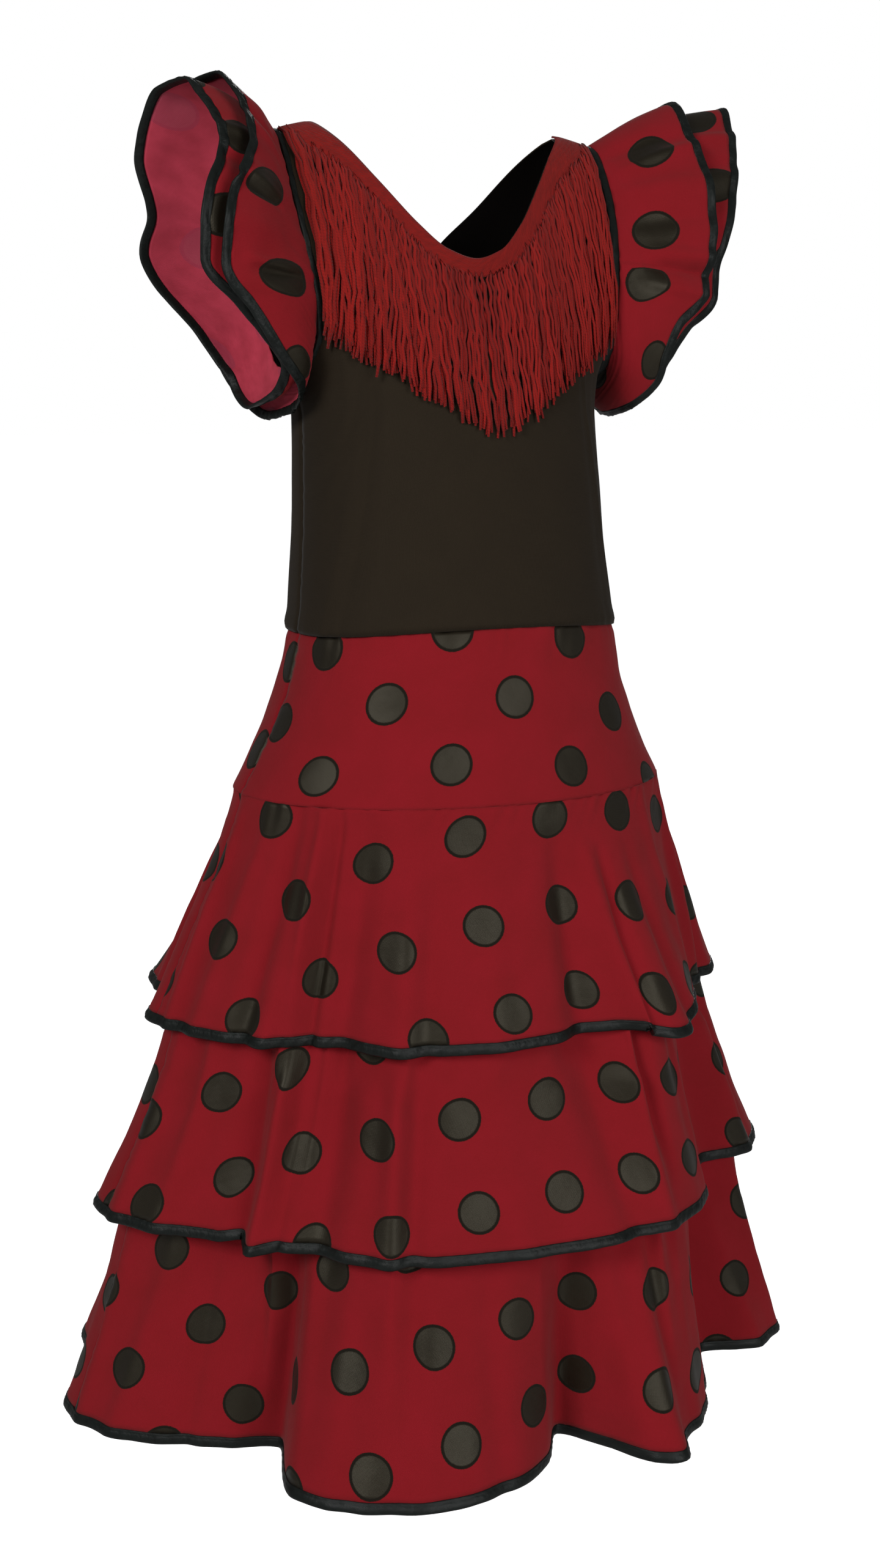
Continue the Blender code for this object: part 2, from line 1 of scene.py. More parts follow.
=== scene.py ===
# %% [markdown]
# # A girl's flamenco dress
# The dress is filled out as a wearer fills it: a black jersey bodice with a fringed V neck,
# two frills on each shoulder, and a red dotted skirt of a hip yoke and three flounces. A part
# library holds its plain solids, each wall as it is cut and sewn. This lesson loads them as a
# fixed frame and makes the cloth that is seen: thin sheets with folds, a printed pattern that
# follows each cut piece, bindings and yarn. Units are metres, +Z is up, the front faces -Y.

import math
import random
from bisect import bisect_right
from functools import lru_cache

import bmesh
import bpy
import numpy as np
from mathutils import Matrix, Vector, noise


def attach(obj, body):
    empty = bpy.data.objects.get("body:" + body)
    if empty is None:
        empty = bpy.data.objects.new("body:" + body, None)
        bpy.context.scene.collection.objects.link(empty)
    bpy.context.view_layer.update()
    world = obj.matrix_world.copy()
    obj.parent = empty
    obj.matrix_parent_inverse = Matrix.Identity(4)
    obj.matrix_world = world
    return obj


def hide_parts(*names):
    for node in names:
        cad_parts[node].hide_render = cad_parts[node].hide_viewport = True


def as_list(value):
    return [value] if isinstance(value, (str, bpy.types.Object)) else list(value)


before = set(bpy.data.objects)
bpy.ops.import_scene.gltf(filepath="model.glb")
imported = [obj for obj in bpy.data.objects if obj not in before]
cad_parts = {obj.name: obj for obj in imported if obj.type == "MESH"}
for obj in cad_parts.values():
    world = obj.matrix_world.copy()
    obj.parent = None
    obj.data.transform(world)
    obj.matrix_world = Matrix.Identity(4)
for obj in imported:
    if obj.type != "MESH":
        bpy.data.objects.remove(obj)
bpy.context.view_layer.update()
print("solids loaded:", len(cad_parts))

# %% [markdown]
# ## Smooth lines through a few measures
# A dressmaker draws a neckline or a side seam through a few measured points with a curved
# rule. `Curve` does the same: it passes through each (where, value) row and never swings
# past one, so a table of half a dozen rows gives a smooth edge. A period makes the line
# close on itself, which suits anything that goes all the way round.

# %% A curved rule
class Curve:
    """A smooth line through (where, value) rows that never swings past a row."""

    def __init__(self, rows, period=None):
        rows = sorted((row[0], row[1]) for row in rows)
        if period:
            before = [(where - period, value) for where, value in rows[-3:]]
            after = [(where + period, value) for where, value in rows[:3]]
            rows = before + rows + after
        self.period, self.start = period, rows[3 if period else 0][0]
        self.wheres, self.values = zip(*rows)
        chords = [(there[1] - here[1]) / (there[0] - here[0])
                  for here, there in zip(rows, rows[1:])]
        self.slopes = [chords[0]]
        for before, after in zip(chords, chords[1:]):
            turning = before * after <= 0.0
            self.slopes.append(0.0 if turning else 2.0 * before * after / (before + after))
        self.slopes.append(chords[-1])

    def __call__(self, where):
        if self.period:
            where = self.start + (where - self.start) % self.period
        where = min(max(where, self.wheres[0]), self.wheres[-1])
        i = min(bisect_right(self.wheres, where), len(self.wheres) - 1) - 1
        run = self.wheres[i + 1] - self.wheres[i]
        t = (where - self.wheres[i]) / run
        here, there = self.values[i], self.values[i + 1]
        ease = t * t * (3.0 - 2.0 * t)
        lead = t * (1.0 - t) ** 2 * self.slopes[i]
        tail = t * t * (t - 1.0) * self.slopes[i + 1]
        return here + (there - here) * ease + run * (lead + tail)


def curves(rows, period=None):
    """One curve for each further column of a table, over its first column."""
    return [Curve([(row[0], row[i]) for row in rows], period) for i in range(1, len(rows[0]))]


def mirrored(rows):
    return [(-row[0], row[1]) for row in rows[1:]] + list(rows)


def length_of(points):
    return sum((there - here).length for here, there in zip(points, points[1:]))


# %% [markdown]
# ## The measures of the dress
# These are the same sizes that the solids were made from, so each sheet lies on its solid.
# Drops are counted downward from the shoulder line, where the origin is.

# %% Measures of the bodice
SEAM = 0.0003            # clear space between two pieces that are sewn together
TAPE_WIDTH = 0.0060      # height of the folded tape along a hem
TAPE_GAP = 0.0005
SATIN = 0.0013           # room that a layer of skirt cloth takes
PIPING_RADIUS = 0.0013
FRONT, BACK = -1, 1

# drop below the shoulder line, half width, centre's shift to the back
BODY_WIDTH = (
    (0, 0.212, 0), (0.03, 0.198, -0.001), (0.06, 0.182, -0.004), (0.085, 0.168, -0.006),
    (0.105, 0.15, -0.008), (0.13, 0.127, -0.01), (0.158, 0.107, -0.013), (0.185, 0.102, -0.017),
    (0.24, 0.1035, -0.022), (0.323, 0.11, -0.027),
)
# drop below the shoulder line, half depth
BODY_DEPTH = (
    (0, 0), (0.01, 0.02), (0.04, 0.04), (0.085, 0.058), (0.12, 0.069), (0.15, 0.0755),
    (0.19, 0.081), (0.25, 0.085), (0.323, 0.091),
)
BODY_SQUARENESS = 0.8    # power of the cosine in a section, under 1 is fuller at the sides
SHOULDER_FALL = 0.22     # drop of the shoulder seam for each metre outward
NECK_HALF_WIDTH = 0.088  # half the distance between the two neck points
STRAP_END = 0.112        # distance of the shoulder seam's outer end from the middle
UNDERARM = 0.158         # drop of the underarm point
WAIST = 0.323            # drop of the waist seam at the sides
WAIST_FRONT_RISE = 0.007
# distance from the middle, drop of the neck edge
FRONT_NECK = (
    (0, 0.0855), (0.018, 0.08), (0.036, 0.064), (0.057, 0.037), (0.074, 0.0145), (0.088, 0),
)
BACK_NECK = (
    (0, 0.088), (0.014, 0.082), (0.03, 0.064), (0.05, 0.044), (0.074, 0.015), (0.088, 0),
)
# drop, distance of the armhole's edge from the middle
ARMHOLE = (
    (0.0053, 0.112), (0.04, 0.112), (0.08, 0.1085), (0.11, 0.1045), (0.135, 0.103),
    (0.158, 0.107),
)
PANEL_PARTS = 14         # a half panel's top edge in parts: 6 of neck, 2 of strap, 6 of armhole
NECK_PARTS = 6
STRAP_PARTS = 2

half_width, body_shift = curves(BODY_WIDTH)
depth_by_root = Curve((math.sqrt(drop), depth) for drop, depth in BODY_DEPTH)
neck_drop = {FRONT: Curve(mirrored(FRONT_NECK)), BACK: Curve(mirrored(BACK_NECK))}
armhole_reach = Curve(ARMHOLE)


def shoulder_fall(x):
    return SHOULDER_FALL * max(abs(x) - NECK_HALF_WIDTH, 0.0)


STRAP_DROP = shoulder_fall(STRAP_END)


def body_point(x, drop, side):
    """Point of the bodice's outer face at a distance from the middle and a drop."""
    sine = min(abs(x) / half_width(drop), 1.0)
    depth = depth_by_root(math.sqrt(max(drop - shoulder_fall(x), 0.0)))
    fullness = (1.0 - sine * sine) ** (BODY_SQUARENESS / 2.0)
    return Vector((x, body_shift(drop) + side * depth * fullness, -drop))


def waist_drop(angle):
    return WAIST - WAIST_FRONT_RISE * max(math.cos(angle), 0.0) ** 2


def panel_edge(share, side):
    """Distance and drop where a column of a bodice panel ends, middle (0) to side (1)."""
    part = share * PANEL_PARTS
    if part <= NECK_PARTS:
        x = NECK_HALF_WIDTH * part / NECK_PARTS
        return x, neck_drop[side](x)
    part -= NECK_PARTS
    if part <= STRAP_PARTS:
        x = NECK_HALF_WIDTH + (STRAP_END - NECK_HALF_WIDTH) * part / STRAP_PARTS
        return x, shoulder_fall(x)
    around = (part - STRAP_PARTS) / (PANEL_PARTS - NECK_PARTS - STRAP_PARTS)
    drop = STRAP_DROP + (UNDERARM - STRAP_DROP) * math.sin(around * math.pi / 2.0)
    return armhole_reach(drop), drop


def bodice_panel(side):
    def place(turn, rise):
        share = 2.0 * turn - 1.0
        top_x, top_drop = panel_edge(abs(share), side)
        low_angle = abs(share) * math.pi / 2.0
        low_drop = waist_drop(low_angle if side == FRONT else math.pi - low_angle)
        top_angle = math.asin(min(top_x / half_width(top_drop), 1.0))
        up = 1.0 - (1.0 - rise) ** 1.5
        angle = low_angle + (top_angle - low_angle) * up
        drop = low_drop + (top_drop - low_drop) * up
        x = math.copysign(half_width(drop) * math.sin(angle), -side * share)
        return body_point(x, drop, side)
    return place


quarter = [body_point(half_width(WAIST) * math.sin(math.radians(angle)), WAIST, FRONT)
           for angle in range(91)]
print("waist round:", round(4 * length_of(quarter), 3), "m")

# %% Measures of the skirt
YOKE_HEM = 0.4265        # drop of the seam below the yoke
YOKE_HALF_WIDTH = 0.151
YOKE_HALF_DEPTH = 0.112
YOKE_SHIFT = -0.025
YOKE_FLARE = 1.55
# name, drop of the hem, half width, half depth, shift, share of its fall at which the next
# flounce is sewn to its inside, hang (how late it turns outward)
FLOUNCES = (
    ("tier_1", 0.580, 0.205, 0.137, -0.008, 0.74, 0.08),
    ("tier_2", 0.708, 0.243, 0.167, -0.009, 0.76, 0.50),
    ("tier_3", 0.850, 0.265, 0.190, -0.002, 1.00, 0.50),
)
CREST_GROWTH = 1.7       # folds that stand out grow late down a flounce
TROUGH_GROWTH = 0.9      # and folds that fall in grow early
# each flounce's hem: angle from the front toward the wearer's left, millimetres outward
FOLDS = (
    ((-135, 30), (-112, -14), (-95, 3), (-78, -6), (-60, -5), (-53, -2), (-47, -15), (-38, -8),
     (-22, 11), (-5, 15), (4, 13), (10, 9), (16, 10), (22, 31), (27, 34), (34, 23), (47, 0),
     (58, -10), (70, 2), (92, 8), (112, -12), (134, 16), (158, -10), (-178, 12), (-158, -8)),
    ((-130, 12), (-112, -12), (-97, 3), (-80, -8), (-62, -24), (-50, -18), (-43, -17), (-32, -2),
     (-20, 10), (-5, 13), (14, 20), (27, 12), (40, -16), (52, -32), (59, -12), (70, -1), (88, 3),
     (108, -16), (132, 16), (156, -14), (178, 14), (-152, -10)),
    ((-128, 18), (-112, -18), (-95, 5), (-81, -5), (-60, -36), (-47, -49), (-38, 13), (-28, 33),
     (-18, 35), (-9, 24), (-2, 2), (4, -31), (8, -2), (11, 32), (14, 41), (18, 22), (28, 2),
     (40, -30), (49, -44), (55, -6), (64, -1), (84, -1), (106, -26), (130, 20), (154, -24),
     (178, 22), (-152, -16)),
)
fold_out = [Curve(folds, 360.0) for folds in FOLDS]


def section_point(angle, half_w, half_d, shift, squareness, drop):
    """Point of a level section, at an angle from the front toward the wearer's left."""
    forward = math.cos(angle)
    depth = math.copysign(abs(forward) ** squareness, forward) * half_d
    return Vector((half_w * math.sin(angle), shift - depth, -drop))


def yoke_point(angle, fall):
    """Point of the hip yoke, from the waist seam (0) to the seam below (1)."""
    top = section_point(angle, half_width(WAIST), depth_by_root(math.sqrt(WAIST)),
                        body_shift(WAIST), BODY_SQUARENESS, waist_drop(angle))
    low = section_point(angle, YOKE_HALF_WIDTH, YOKE_HALF_DEPTH, YOKE_SHIFT, 1.0, YOKE_HEM)
    point = top.lerp(low, fall ** YOKE_FLARE)
    point.z = top.z + (low.z - top.z) * fall
    return point


def flounce_hem(number, angle):
    _, drop, half_w, half_d, shift = FLOUNCES[number][:5]
    return section_point(angle, half_w, half_d, shift, 1.0, drop - TAPE_WIDTH - TAPE_GAP)


@lru_cache(maxsize=None)
def flounce_top(number, angle):
    """Upper edge of a flounce, against the piece that carries it."""
    if number == 0:
        return yoke_point(angle, 1.0)
    join = FLOUNCES[number - 1][5]
    step = 0.0005
    across = (flounce_point(number - 1, angle + step, join)
              - flounce_point(number - 1, angle - step, join))
    upward = (flounce_point(number - 1, angle, join - step)
              - flounce_point(number - 1, angle, join + step))
    inward = -across.cross(upward).normalized()
    inward.z = 0.0
    inward /= inward.length_squared
    return flounce_point(number - 1, angle, join) + inward * (SATIN + SEAM)


# %% [markdown]
# ## Flounces that cover each other
# The lower flounces hang behind the ones above and must not come through them. A flounce's
# reach is measured once, in a table of places round it and down it, and each place of the
# next one is then moved in until it lies clear behind. Below the hem that pull dies out.

# %% Keep a flounce under its cover
COVER_ANGLES, COVER_SHARES = 480, 26
COVER_SIDE = 3           # places on each side whose least reach counts
COVER_END = 1.04         # share of its fall down to which a flounce covers the next one
COVER_FADE = 1.25        # and the share at which it no longer moves it
COVER_ROOM = 0.0010      # clear space behind a cover at the join, beyond a seam's
COVER_EXTRA = 0.0020     # and how much more of it there is at the hem
covers = []


def cover_table(number):
    """How far out a flounce hangs, as the least of several places side by side."""
    angles = np.linspace(0.0, math.tau, COVER_ANGLES, endpoint=False)
    shares = np.linspace(0.0, COVER_END, COVER_SHARES + 1)
    points = np.array([[flounce_point(number, angle, share)[:2] for angle in angles.tolist()]
                       for share in shares.tolist()])
    out = np.stack([np.sin(angles), -np.cos(angles)], axis=1)
    return np.min([(np.roll(points, shift, axis=1) * out).sum(axis=2)
                   for shift in range(-COVER_SIDE, COVER_SIDE + 1)], axis=0)


def cover_reach(number, angle, share):
    """Distance out of a covering flounce, read between the places of its table."""
    across = angle / math.tau % 1.0 * COVER_ANGLES
    down = min(max(share, 0.0), COVER_END) / COVER_END * COVER_SHARES
    i, j = int(across) % COVER_ANGLES, min(int(down), COVER_SHARES - 1)
    table, right, low = covers[number], across - int(across), down - j
    here, there = ((1.0 - low) * table[j, k] + low * table[j + 1, k]
                   for k in (i, (i + 1) % COVER_ANGLES))
    return float((1.0 - right) * here + right * there)


def keep_under(number, angle, point, out):
    """Move a place inward where it would come through the flounce that covers it."""
    top, low = flounce_top(number - 1, angle), flounce_hem(number - 1, angle)
    share = (top.z - point.z) / (top.z - low.z)
    if share > COVER_FADE:
        return point
    join = FLOUNCES[number - 1][5]
    below = min(max((share - join) / (1.0 - join), 0.0), 1.0)
    clear = SATIN + SEAM + COVER_ROOM + COVER_EXTRA * below
    room = cover_reach(number - 1, angle, share) - point.dot(out) - clear
    pull = min((COVER_FADE - share) / (COVER_FADE - COVER_END), 1.0)
    return point + out * min(room, 0.0) * pull


# %% A place on a flounce
def flounce_point(number, angle, fall):
    """Point of a flounce, from its upper edge (0) to its hem (1), and past it."""
    hang = FLOUNCES[number][6]
    top, low = flounce_top(number, angle), flounce_hem(number, angle)
    outward = (math.hypot(hang, fall) - hang) / (math.hypot(hang, 1.0) - hang)
    point = top.lerp(low, outward)
    point.z = top.z + (low.z - top.z) * fall
    turn = math.degrees(angle)
    fold = 0.001 * fold_out[number](turn)
    fold *= fall ** (CREST_GROWTH if fold > 0.0 else TROUGH_GROWTH)
    fold += crease_height(CREASES[number], turn, fall)
    out = Vector((math.sin(angle), -math.cos(angle), 0.0))
    point += fold * out
    if number:
        point = keep_under(number, angle, point, out)
    side, lower = (0.001 * fall ** 3 * tuck(turn) for tuck in tucks[number])
    return point + Vector((side * math.cos(angle), side * math.sin(angle), -lower))


def skirt_panel(point_at, side):
    """Front or back half of a ring of cloth, from side seam to side seam."""
    start = side * math.pi / 2.0
    return lambda turn, rise: point_at(start + math.pi * turn, 1.0 - rise)


# %% [markdown]
# ## Creases in the hanging cloth
# Cloth that hangs from a seam falls in long soft creases. Each starts somewhere below the
# seam, leans a little and dies out or runs off the hem, and no two are alike. Each row of
# these tables is one crease. A crease is a soft bump across its line and fades in and out
# along it, so adding it to a point is one short sum.

# %% Creases of the flounces
# angle, lean in degrees down the flounce, start and end as shares of its fall, half width in
# degrees, millimetres outward
CREASES = (
    ((-71, -3, 0, 1.3, 3, 3), (-61, 2, -0.1, 1.4, 3.2, -5.7), (-52.6, 4.5, -0.1, 1.4, 2, 7),
     (-47.8, 4, -0.1, 1.3, 1.3, -4.3), (-40, 4, 0, 1.5, 4, -7), (-27, 3, 0.15, 1.5, 3.2, 4.9),
     (-21, 2, 0.3, 1.5, 2.2, -2.5), (-8, 1, 0.3, 1.6, 3, 2.1), (8.5, 2, 0.1, 1.5, 3.5, -7.3),
     (16.5, 2.4, 0.15, 1.5, 2.2, 6.8), (20.8, 2, 0.2, 1.5, 1.5, -6.8),
     (30, 3, 0.2, 1.4, 2.4, -4.9), (42, 3, -0.1, 1.2, 2.6, 2.8), (62, -3, 0, 1.4, 2.6, 5.7),
     (68, -3, 0.1, 1.4, 1.8, -4.6), (84, 2, 0.1, 1.4, 3.4, -5.1), (101, 3, -0.1, 1.3, 2.6, 5.9),
     (121, -2, 0.2, 1.4, 3.6, -5.7), (146, 3, 0, 1.4, 2.4, 6.2), (151, 3, 0, 1.4, 1.6, -4.3),
     (168, -2, 0.2, 1.5, 3.4, -4.9), (-171, 2, -0.1, 1.2, 2.8, 5.1),
     (-149, -3, 0.1, 1.4, 3.2, -6.5), (-124, 2, 0, 1.4, 2.6, 5.4),
     (-103, -2, 0.2, 1.5, 3.2, -5.4), (-86, 2, 0, 1.3, 2.2, 4.1)),
    ((-72, -3, 0.1, 1.4, 2.8, 2.8), (-57.5, 2, 0, 1.5, 2.8, -5.9),
     (-50.6, 0.5, -0.1, 1.4, 1.7, 7), (-46.8, 0.5, -0.1, 1.3, 1.3, -3.2),
     (-38.5, 1, 0, 1.5, 3.6, -6.5), (-26.5, 1, 0, 1.4, 2.2, 5.9), (-22, 0, 0.1, 1.4, 1.8, -4.6),
     (-6, 1, 0.4, 1.6, 3, 1.8), (12.2, 0.5, -0.1, 1.3, 2.6, -6.2), (18, 1, -0.1, 1.3, 1.8, 5.1),
     (21.2, 2, -0.1, 0.9, 1.2, -5.1), (33, 2, 0.3, 1.5, 2.4, 3), (64, -3, 0.2, 1.4, 2.6, 5.4),
     (79, 2, 0.1, 1.4, 2.8, -5.7), (97, -3, 0.1, 1.4, 2.4, 5.9), (102, -3, 0.1, 1.4, 1.6, -4.1),
     (122, 3, 0.2, 1.5, 3.2, -5.9), (144, -2, 0, 1.4, 2.6, 5.7), (166, 2, 0.2, 1.5, 2.8, -5.4),
     (-166, 3, 0.1, 1.4, 2.4, 6.2), (-142, -2, 0.1, 1.4, 3.2, -5.9), (-120, 2, 0, 1.4, 2.6, 5.1),
     (-104, -3, 0.2, 1.5, 2.6, -5.1), (-88, 2, 0.2, 1.4, 2.4, 3.2)),
    ((-76, -3, 0.2, 1.4, 2.4, 2.8), (-67, 2, 0.2, 1.5, 2.2, -3.2), (-56, 1, 0.1, 1.4, 2.4, 2.5),
     (-31, 1, 0.2, 1.5, 2, -2.1), (-20, -1, 0.4, 1.6, 2.4, 2.3), (-11, 1, 0.2, 1.5, 2, -2.3),
     (17.6, 0.5, -0.1, 0.85, 1.5, -6.2), (22, 1, 0.1, 1.4, 2, 3.2), (33, -2, 0.3, 1.5, 2.2, -3),
     (60, 3, 0.2, 1.4, 2.4, 4.6), (74, -3, 0.1, 1.4, 2.6, -5.1), (92, 3, 0, 1.4, 2.4, 5.4),
     (116, -2, 0.1, 1.4, 2.8, -5.1), (140, 3, 0.1, 1.4, 2.6, 5.7),
     (163, -2, 0.2, 1.5, 2.6, -5.1), (-168, 3, 0.1, 1.4, 2.4, 5.4),
     (-142, -2, 0.1, 1.4, 2.8, -5.4), (-121, 2, 0.1, 1.4, 2.6, 4.6),
     (-103, -2, 0.2, 1.4, 2.4, -4.6), (-89, 2, 0.2, 1.4, 2.2, 3.2)),
)
# where a fold leans over its neighbour: angle, millimetres sideways, millimetres lower at the hem
TUCKS = (
    ((12, 0, 0), (18.4, 5, 0), (22.2, -4, 3), (26, 0, 7), (31, 0, 6), (38, 0, 0), (96, 0, 0),
     (101, 6, 0), (106, -6, 4), (112, 0, 0), (-156, 0, 0), (-150, 7, 0), (-145, -5, 5),
     (-138, 0, 0)),
    ((-61, 0, 0), (-56, 3, -3), (-51, -3, 3), (-45, 0, 0), (92, 0, 0), (97, 5, -2), (103, -5, 3),
     (110, 0, 0), (160, 0, 0), (166, 5, 0), (172, -5, 4), (179, 0, 0)),
    ((85, 0, 0), (92, 6, 0), (98, -5, 3), (106, 0, 0), (-175, 0, 0), (-168, 6, 0), (-161, -6, 3),
     (-154, 0, 0)),
)
tucks = [curves(rows, 360.0) for rows in TUCKS]


def crease_height(rows, across, along, period=360.0):
    """Metres outward at a place across (degrees) and along (share of the fall)."""
    total = 0.0
    for where, lean, start, end, width, height in rows:
        if not start < along < end:
            continue
        share = (along - start) / (end - start)
        away = (across - where - lean * (along - start) + period / 2.0) % period
        away = (away - period / 2.0) / width
        if abs(away) < 3.0:
            total += height * math.exp(-away * away) * math.sin(math.pi * share) ** 0.7
    return 0.001 * total


for number in (0, 1):
    covers.append(cover_table(number))
print("creases round the skirt:", sum(len(rows) for rows in CREASES))

# %% [markdown]
# ## The shape of the sleeve frills
# A frill is a ring of cloth sewn into the armhole that stands out and falls over the arm.
# Its rim is given where it is seen to turn, by the turn about the arm, and a straight line
# from the armhole to the rim, with a little bulge, gives the cloth between. The shorter
# frill follows the longer one and stands off it, and both have creases of their own.

# %% Measures of the sleeve frills
FRILL_BULGE = 0.005      # a frill stands this much proud of a straight line to its rim
FRILL_SPREAD = 0.007     # clear height between the two frills at their rims
# rim of the longer frill: turn about the arm (0 top, 90 front, 180 under, 270 back),
# distance from the middle, forward, height, and how much shorter the upper frill is
RIGHT_RIM = (
    (0, 0.171, 0, 0.0258, 0.019), (20, 0.168, 0.017, 0.0152, 0.019),
    (38, 0.165, 0.033, 0.0027, 0.018), (60, 0.164, 0.049, -0.0137, 0.016),
    (70, 0.169, 0.059, -0.0271, 0.014), (82, 0.181, 0.071, -0.0478, 0.012),
    (92, 0.186, 0.075, -0.0694, 0.011), (103, 0.186, 0.072, -0.0896, 0.01),
    (116, 0.164, 0.068, -0.1133, 0.007), (130, 0.144, 0.063, -0.1354, 0.005),
    (150, 0.126, 0.05, -0.16, 0.006), (170, 0.123, 0.026, -0.1764, 0.007),
    (190, 0.126, -0.012, -0.182, 0.007), (212, 0.131, -0.042, -0.1636, 0.005),
    (235, 0.149, -0.055, -0.1303, 0.008), (258, 0.183, -0.064, -0.077, 0.011),
    (278, 0.179, -0.058, -0.0549, 0.013), (300, 0.188, -0.053, -0.018, 0.014),
    (330, 0.181, -0.028, 0.0212, 0.018),
)
LEFT_RIM = (
    (0, 0.225, 0, 0.0282, 0.042), (25, 0.221, 0.018, 0.0112, 0.04),
    (58, 0.212, 0.042, -0.0248, 0.029), (78, 0.197, 0.056, -0.0659, 0.016),
    (90, 0.191, 0.054, -0.0889, 0.014), (98, 0.192, 0.052, -0.1037, 0.018),
    (112, 0.172, 0.053, -0.1235, 0.018), (126, 0.159, 0.049, -0.1456, 0.015),
    (140, 0.15, 0.043, -0.1622, 0.009), (155, 0.139, 0.033, -0.175, 0.009),
    (172, 0.136, 0.013, -0.1778, 0.008), (190, 0.138, -0.015, -0.168, 0.006),
    (210, 0.142, -0.035, -0.153, 0.004), (235, 0.162, -0.05, -0.125, 0.008),
    (265, 0.19, -0.06, -0.08, 0.014), (300, 0.205, -0.055, -0.02, 0.026),
    (335, 0.22, -0.028, 0.018, 0.036),
)
# folds of each frill: turn, lean, start and end as shares of its fall, half width in
# degrees, millimetres outward
FRILL_CREASES = {
    "under_right": (
        (48, 4, 0.1, 1.3, 5, 2.6), (70, -3, 0.2, 1.4, 4, -3), (108, 3, 0.1, 1.4, 5, 2),
        (210, 3, 0.1, 1.3, 6, -2.8), (250, -3, 0.2, 1.4, 6, 3), (285, 3, 0.1, 1.3, 6, -2.6),
    ),
    "upper_right": (
        (22, 4, -0.1, 1.1, 6, 2.2), (40, -3, 0.1, 1.3, 4, -2.6), (52, -4, 0, 1.2, 4, 2.4),
        (70, 3, 0.2, 1.4, 3, 2.4), (74.8, 0, 0.3, 1.05, 1.7, 2.8), (78.4, 0, 0.3, 1, 1.5, -2.4),
        (88, 2, 0.3, 1.4, 4, 2.2), (101.2, -1, 0.1, 0.85, 1.7, 2.8),
        (104.8, -1, 0.1, 0.8, 1.5, -2.4), (110, -3, 0.1, 1.3, 4, 2.4),
        (215, 3, 0.1, 1.3, 6, 2.8), (255, -3, 0.2, 1.4, 6, -2.8), (290, 3, 0.1, 1.3, 6, 2.6),
        (330, -3, 0.1, 1.3, 6, -2.4),
    ),
    "under_left": (
        (30, 3, 0.3, 1.4, 5, 2.8), (50, -2, 0.2, 1.3, 4, -2.2), (66, -3, 0.2, 1.4, 5, -3),
        (106, 3, 0.1, 1.4, 5, 2.6), (212, -3, 0.1, 1.3, 6, 2.6), (248, 3, 0.2, 1.4, 6, -3),
        (288, -3, 0.1, 1.3, 6, 2.6),
    ),
    "upper_left": (
        (28, 4, -0.1, 1.2, 6, -2.6), (44, -3, 0.1, 1.3, 3.5, 2.2), (58, 3, 0, 1.3, 5, 2.8),
        (74, -3, 0.1, 1.3, 4, -3), (86, 0, 0.3, 1.5, 3, 3.6), (92, 0, 0.25, 1.5, 2.2, -4),
        (99, 0, 0.2, 1.4, 3, 2.8), (212, 3, 0.1, 1.3, 6, -2.6), (252, -3, 0.2, 1.4, 6, 3),
        (292, 3, 0.1, 1.3, 6, -2.6), (332, 3, 0.1, 1.3, 6, 2.4),
    ),
}
rim_of = {1: curves(LEFT_RIM, 360.0), -1: curves(RIGHT_RIM, 360.0)}


def armhole_point(hand, turn):
    """Edge of the armhole at a turn about the arm: 0 top, 0.25 front, 0.5 underarm."""
    drop = STRAP_DROP + (UNDERARM - STRAP_DROP) * (1.0 - math.cos(math.tau * turn)) / 2.0
    return body_point(hand * armhole_reach(drop), drop, FRONT if turn % 1.0 <= 0.5 else BACK)


def from_arm(turn):
    return Vector((0.0, -math.sin(math.tau * turn), math.cos(math.tau * turn)))


def under_frill_point(hand, turn, fall):
    """Point of the longer frill, from the armhole seam (0) to its rim (1), and past it."""
    reach, forward, height = (curve(360.0 * turn) for curve in rim_of[hand][:3])
    clear = 2.0 * PIPING_RADIUS + 2.0 * SEAM + SATIN
    seam = armhole_point(hand, turn) + Vector((hand * clear, 0.0, 0.0))
    rim = Vector((hand * reach, -forward, height))
    rim -= (rim - seam).normalized() * (TAPE_WIDTH + TAPE_GAP)
    bulge = math.sin(math.pi * min(fall, 1.0))
    return seam.lerp(rim, fall) + from_arm(turn) * FRILL_BULGE * bulge


def frill_outward(hand, turn, share):
    step, wide_step = 0.002, 0.04
    point = under_frill_point(hand, turn, share)
    down = (under_frill_point(hand, turn, share + step) - point).normalized()
    across = (under_frill_point(hand, turn + wide_step, share)
              - under_frill_point(hand, turn - wide_step, share))
    return hand * across.cross(down).normalized()


def upper_frill_point(hand, turn, fall):
    """Point of the shorter frill, which lies on the longer one and stands off it."""
    length = (under_frill_point(hand, turn, 1.0) - under_frill_point(hand, turn, 0.0)).length
    share = fall * (1.0 - rim_of[hand][3](360.0 * turn) / length)
    lift = SATIN + SEAM + FRILL_SPREAD * fall
    return under_frill_point(hand, turn, share) + frill_outward(hand, turn, share) * lift


def creased_frill(hand, layer):
    """A frill's place with its folds: turns run so that its outer face looks outward."""
    plain = under_frill_point if layer == "under" else upper_frill_point
    creases = FRILL_CREASES[f"{layer}_{'left' if hand > 0 else 'right'}"]

    def point_at(turn, fall):
        turn = -hand * turn % 1.0
        fold = crease_height(creases, 360.0 * turn, fall)
        return plain(hand, turn, fall) + from_arm(turn) * fold
    return point_at


rounds = [armhole_point(1, i / 60) for i in range(61)]
print("armhole round:", round(length_of(rounds), 3), "m")

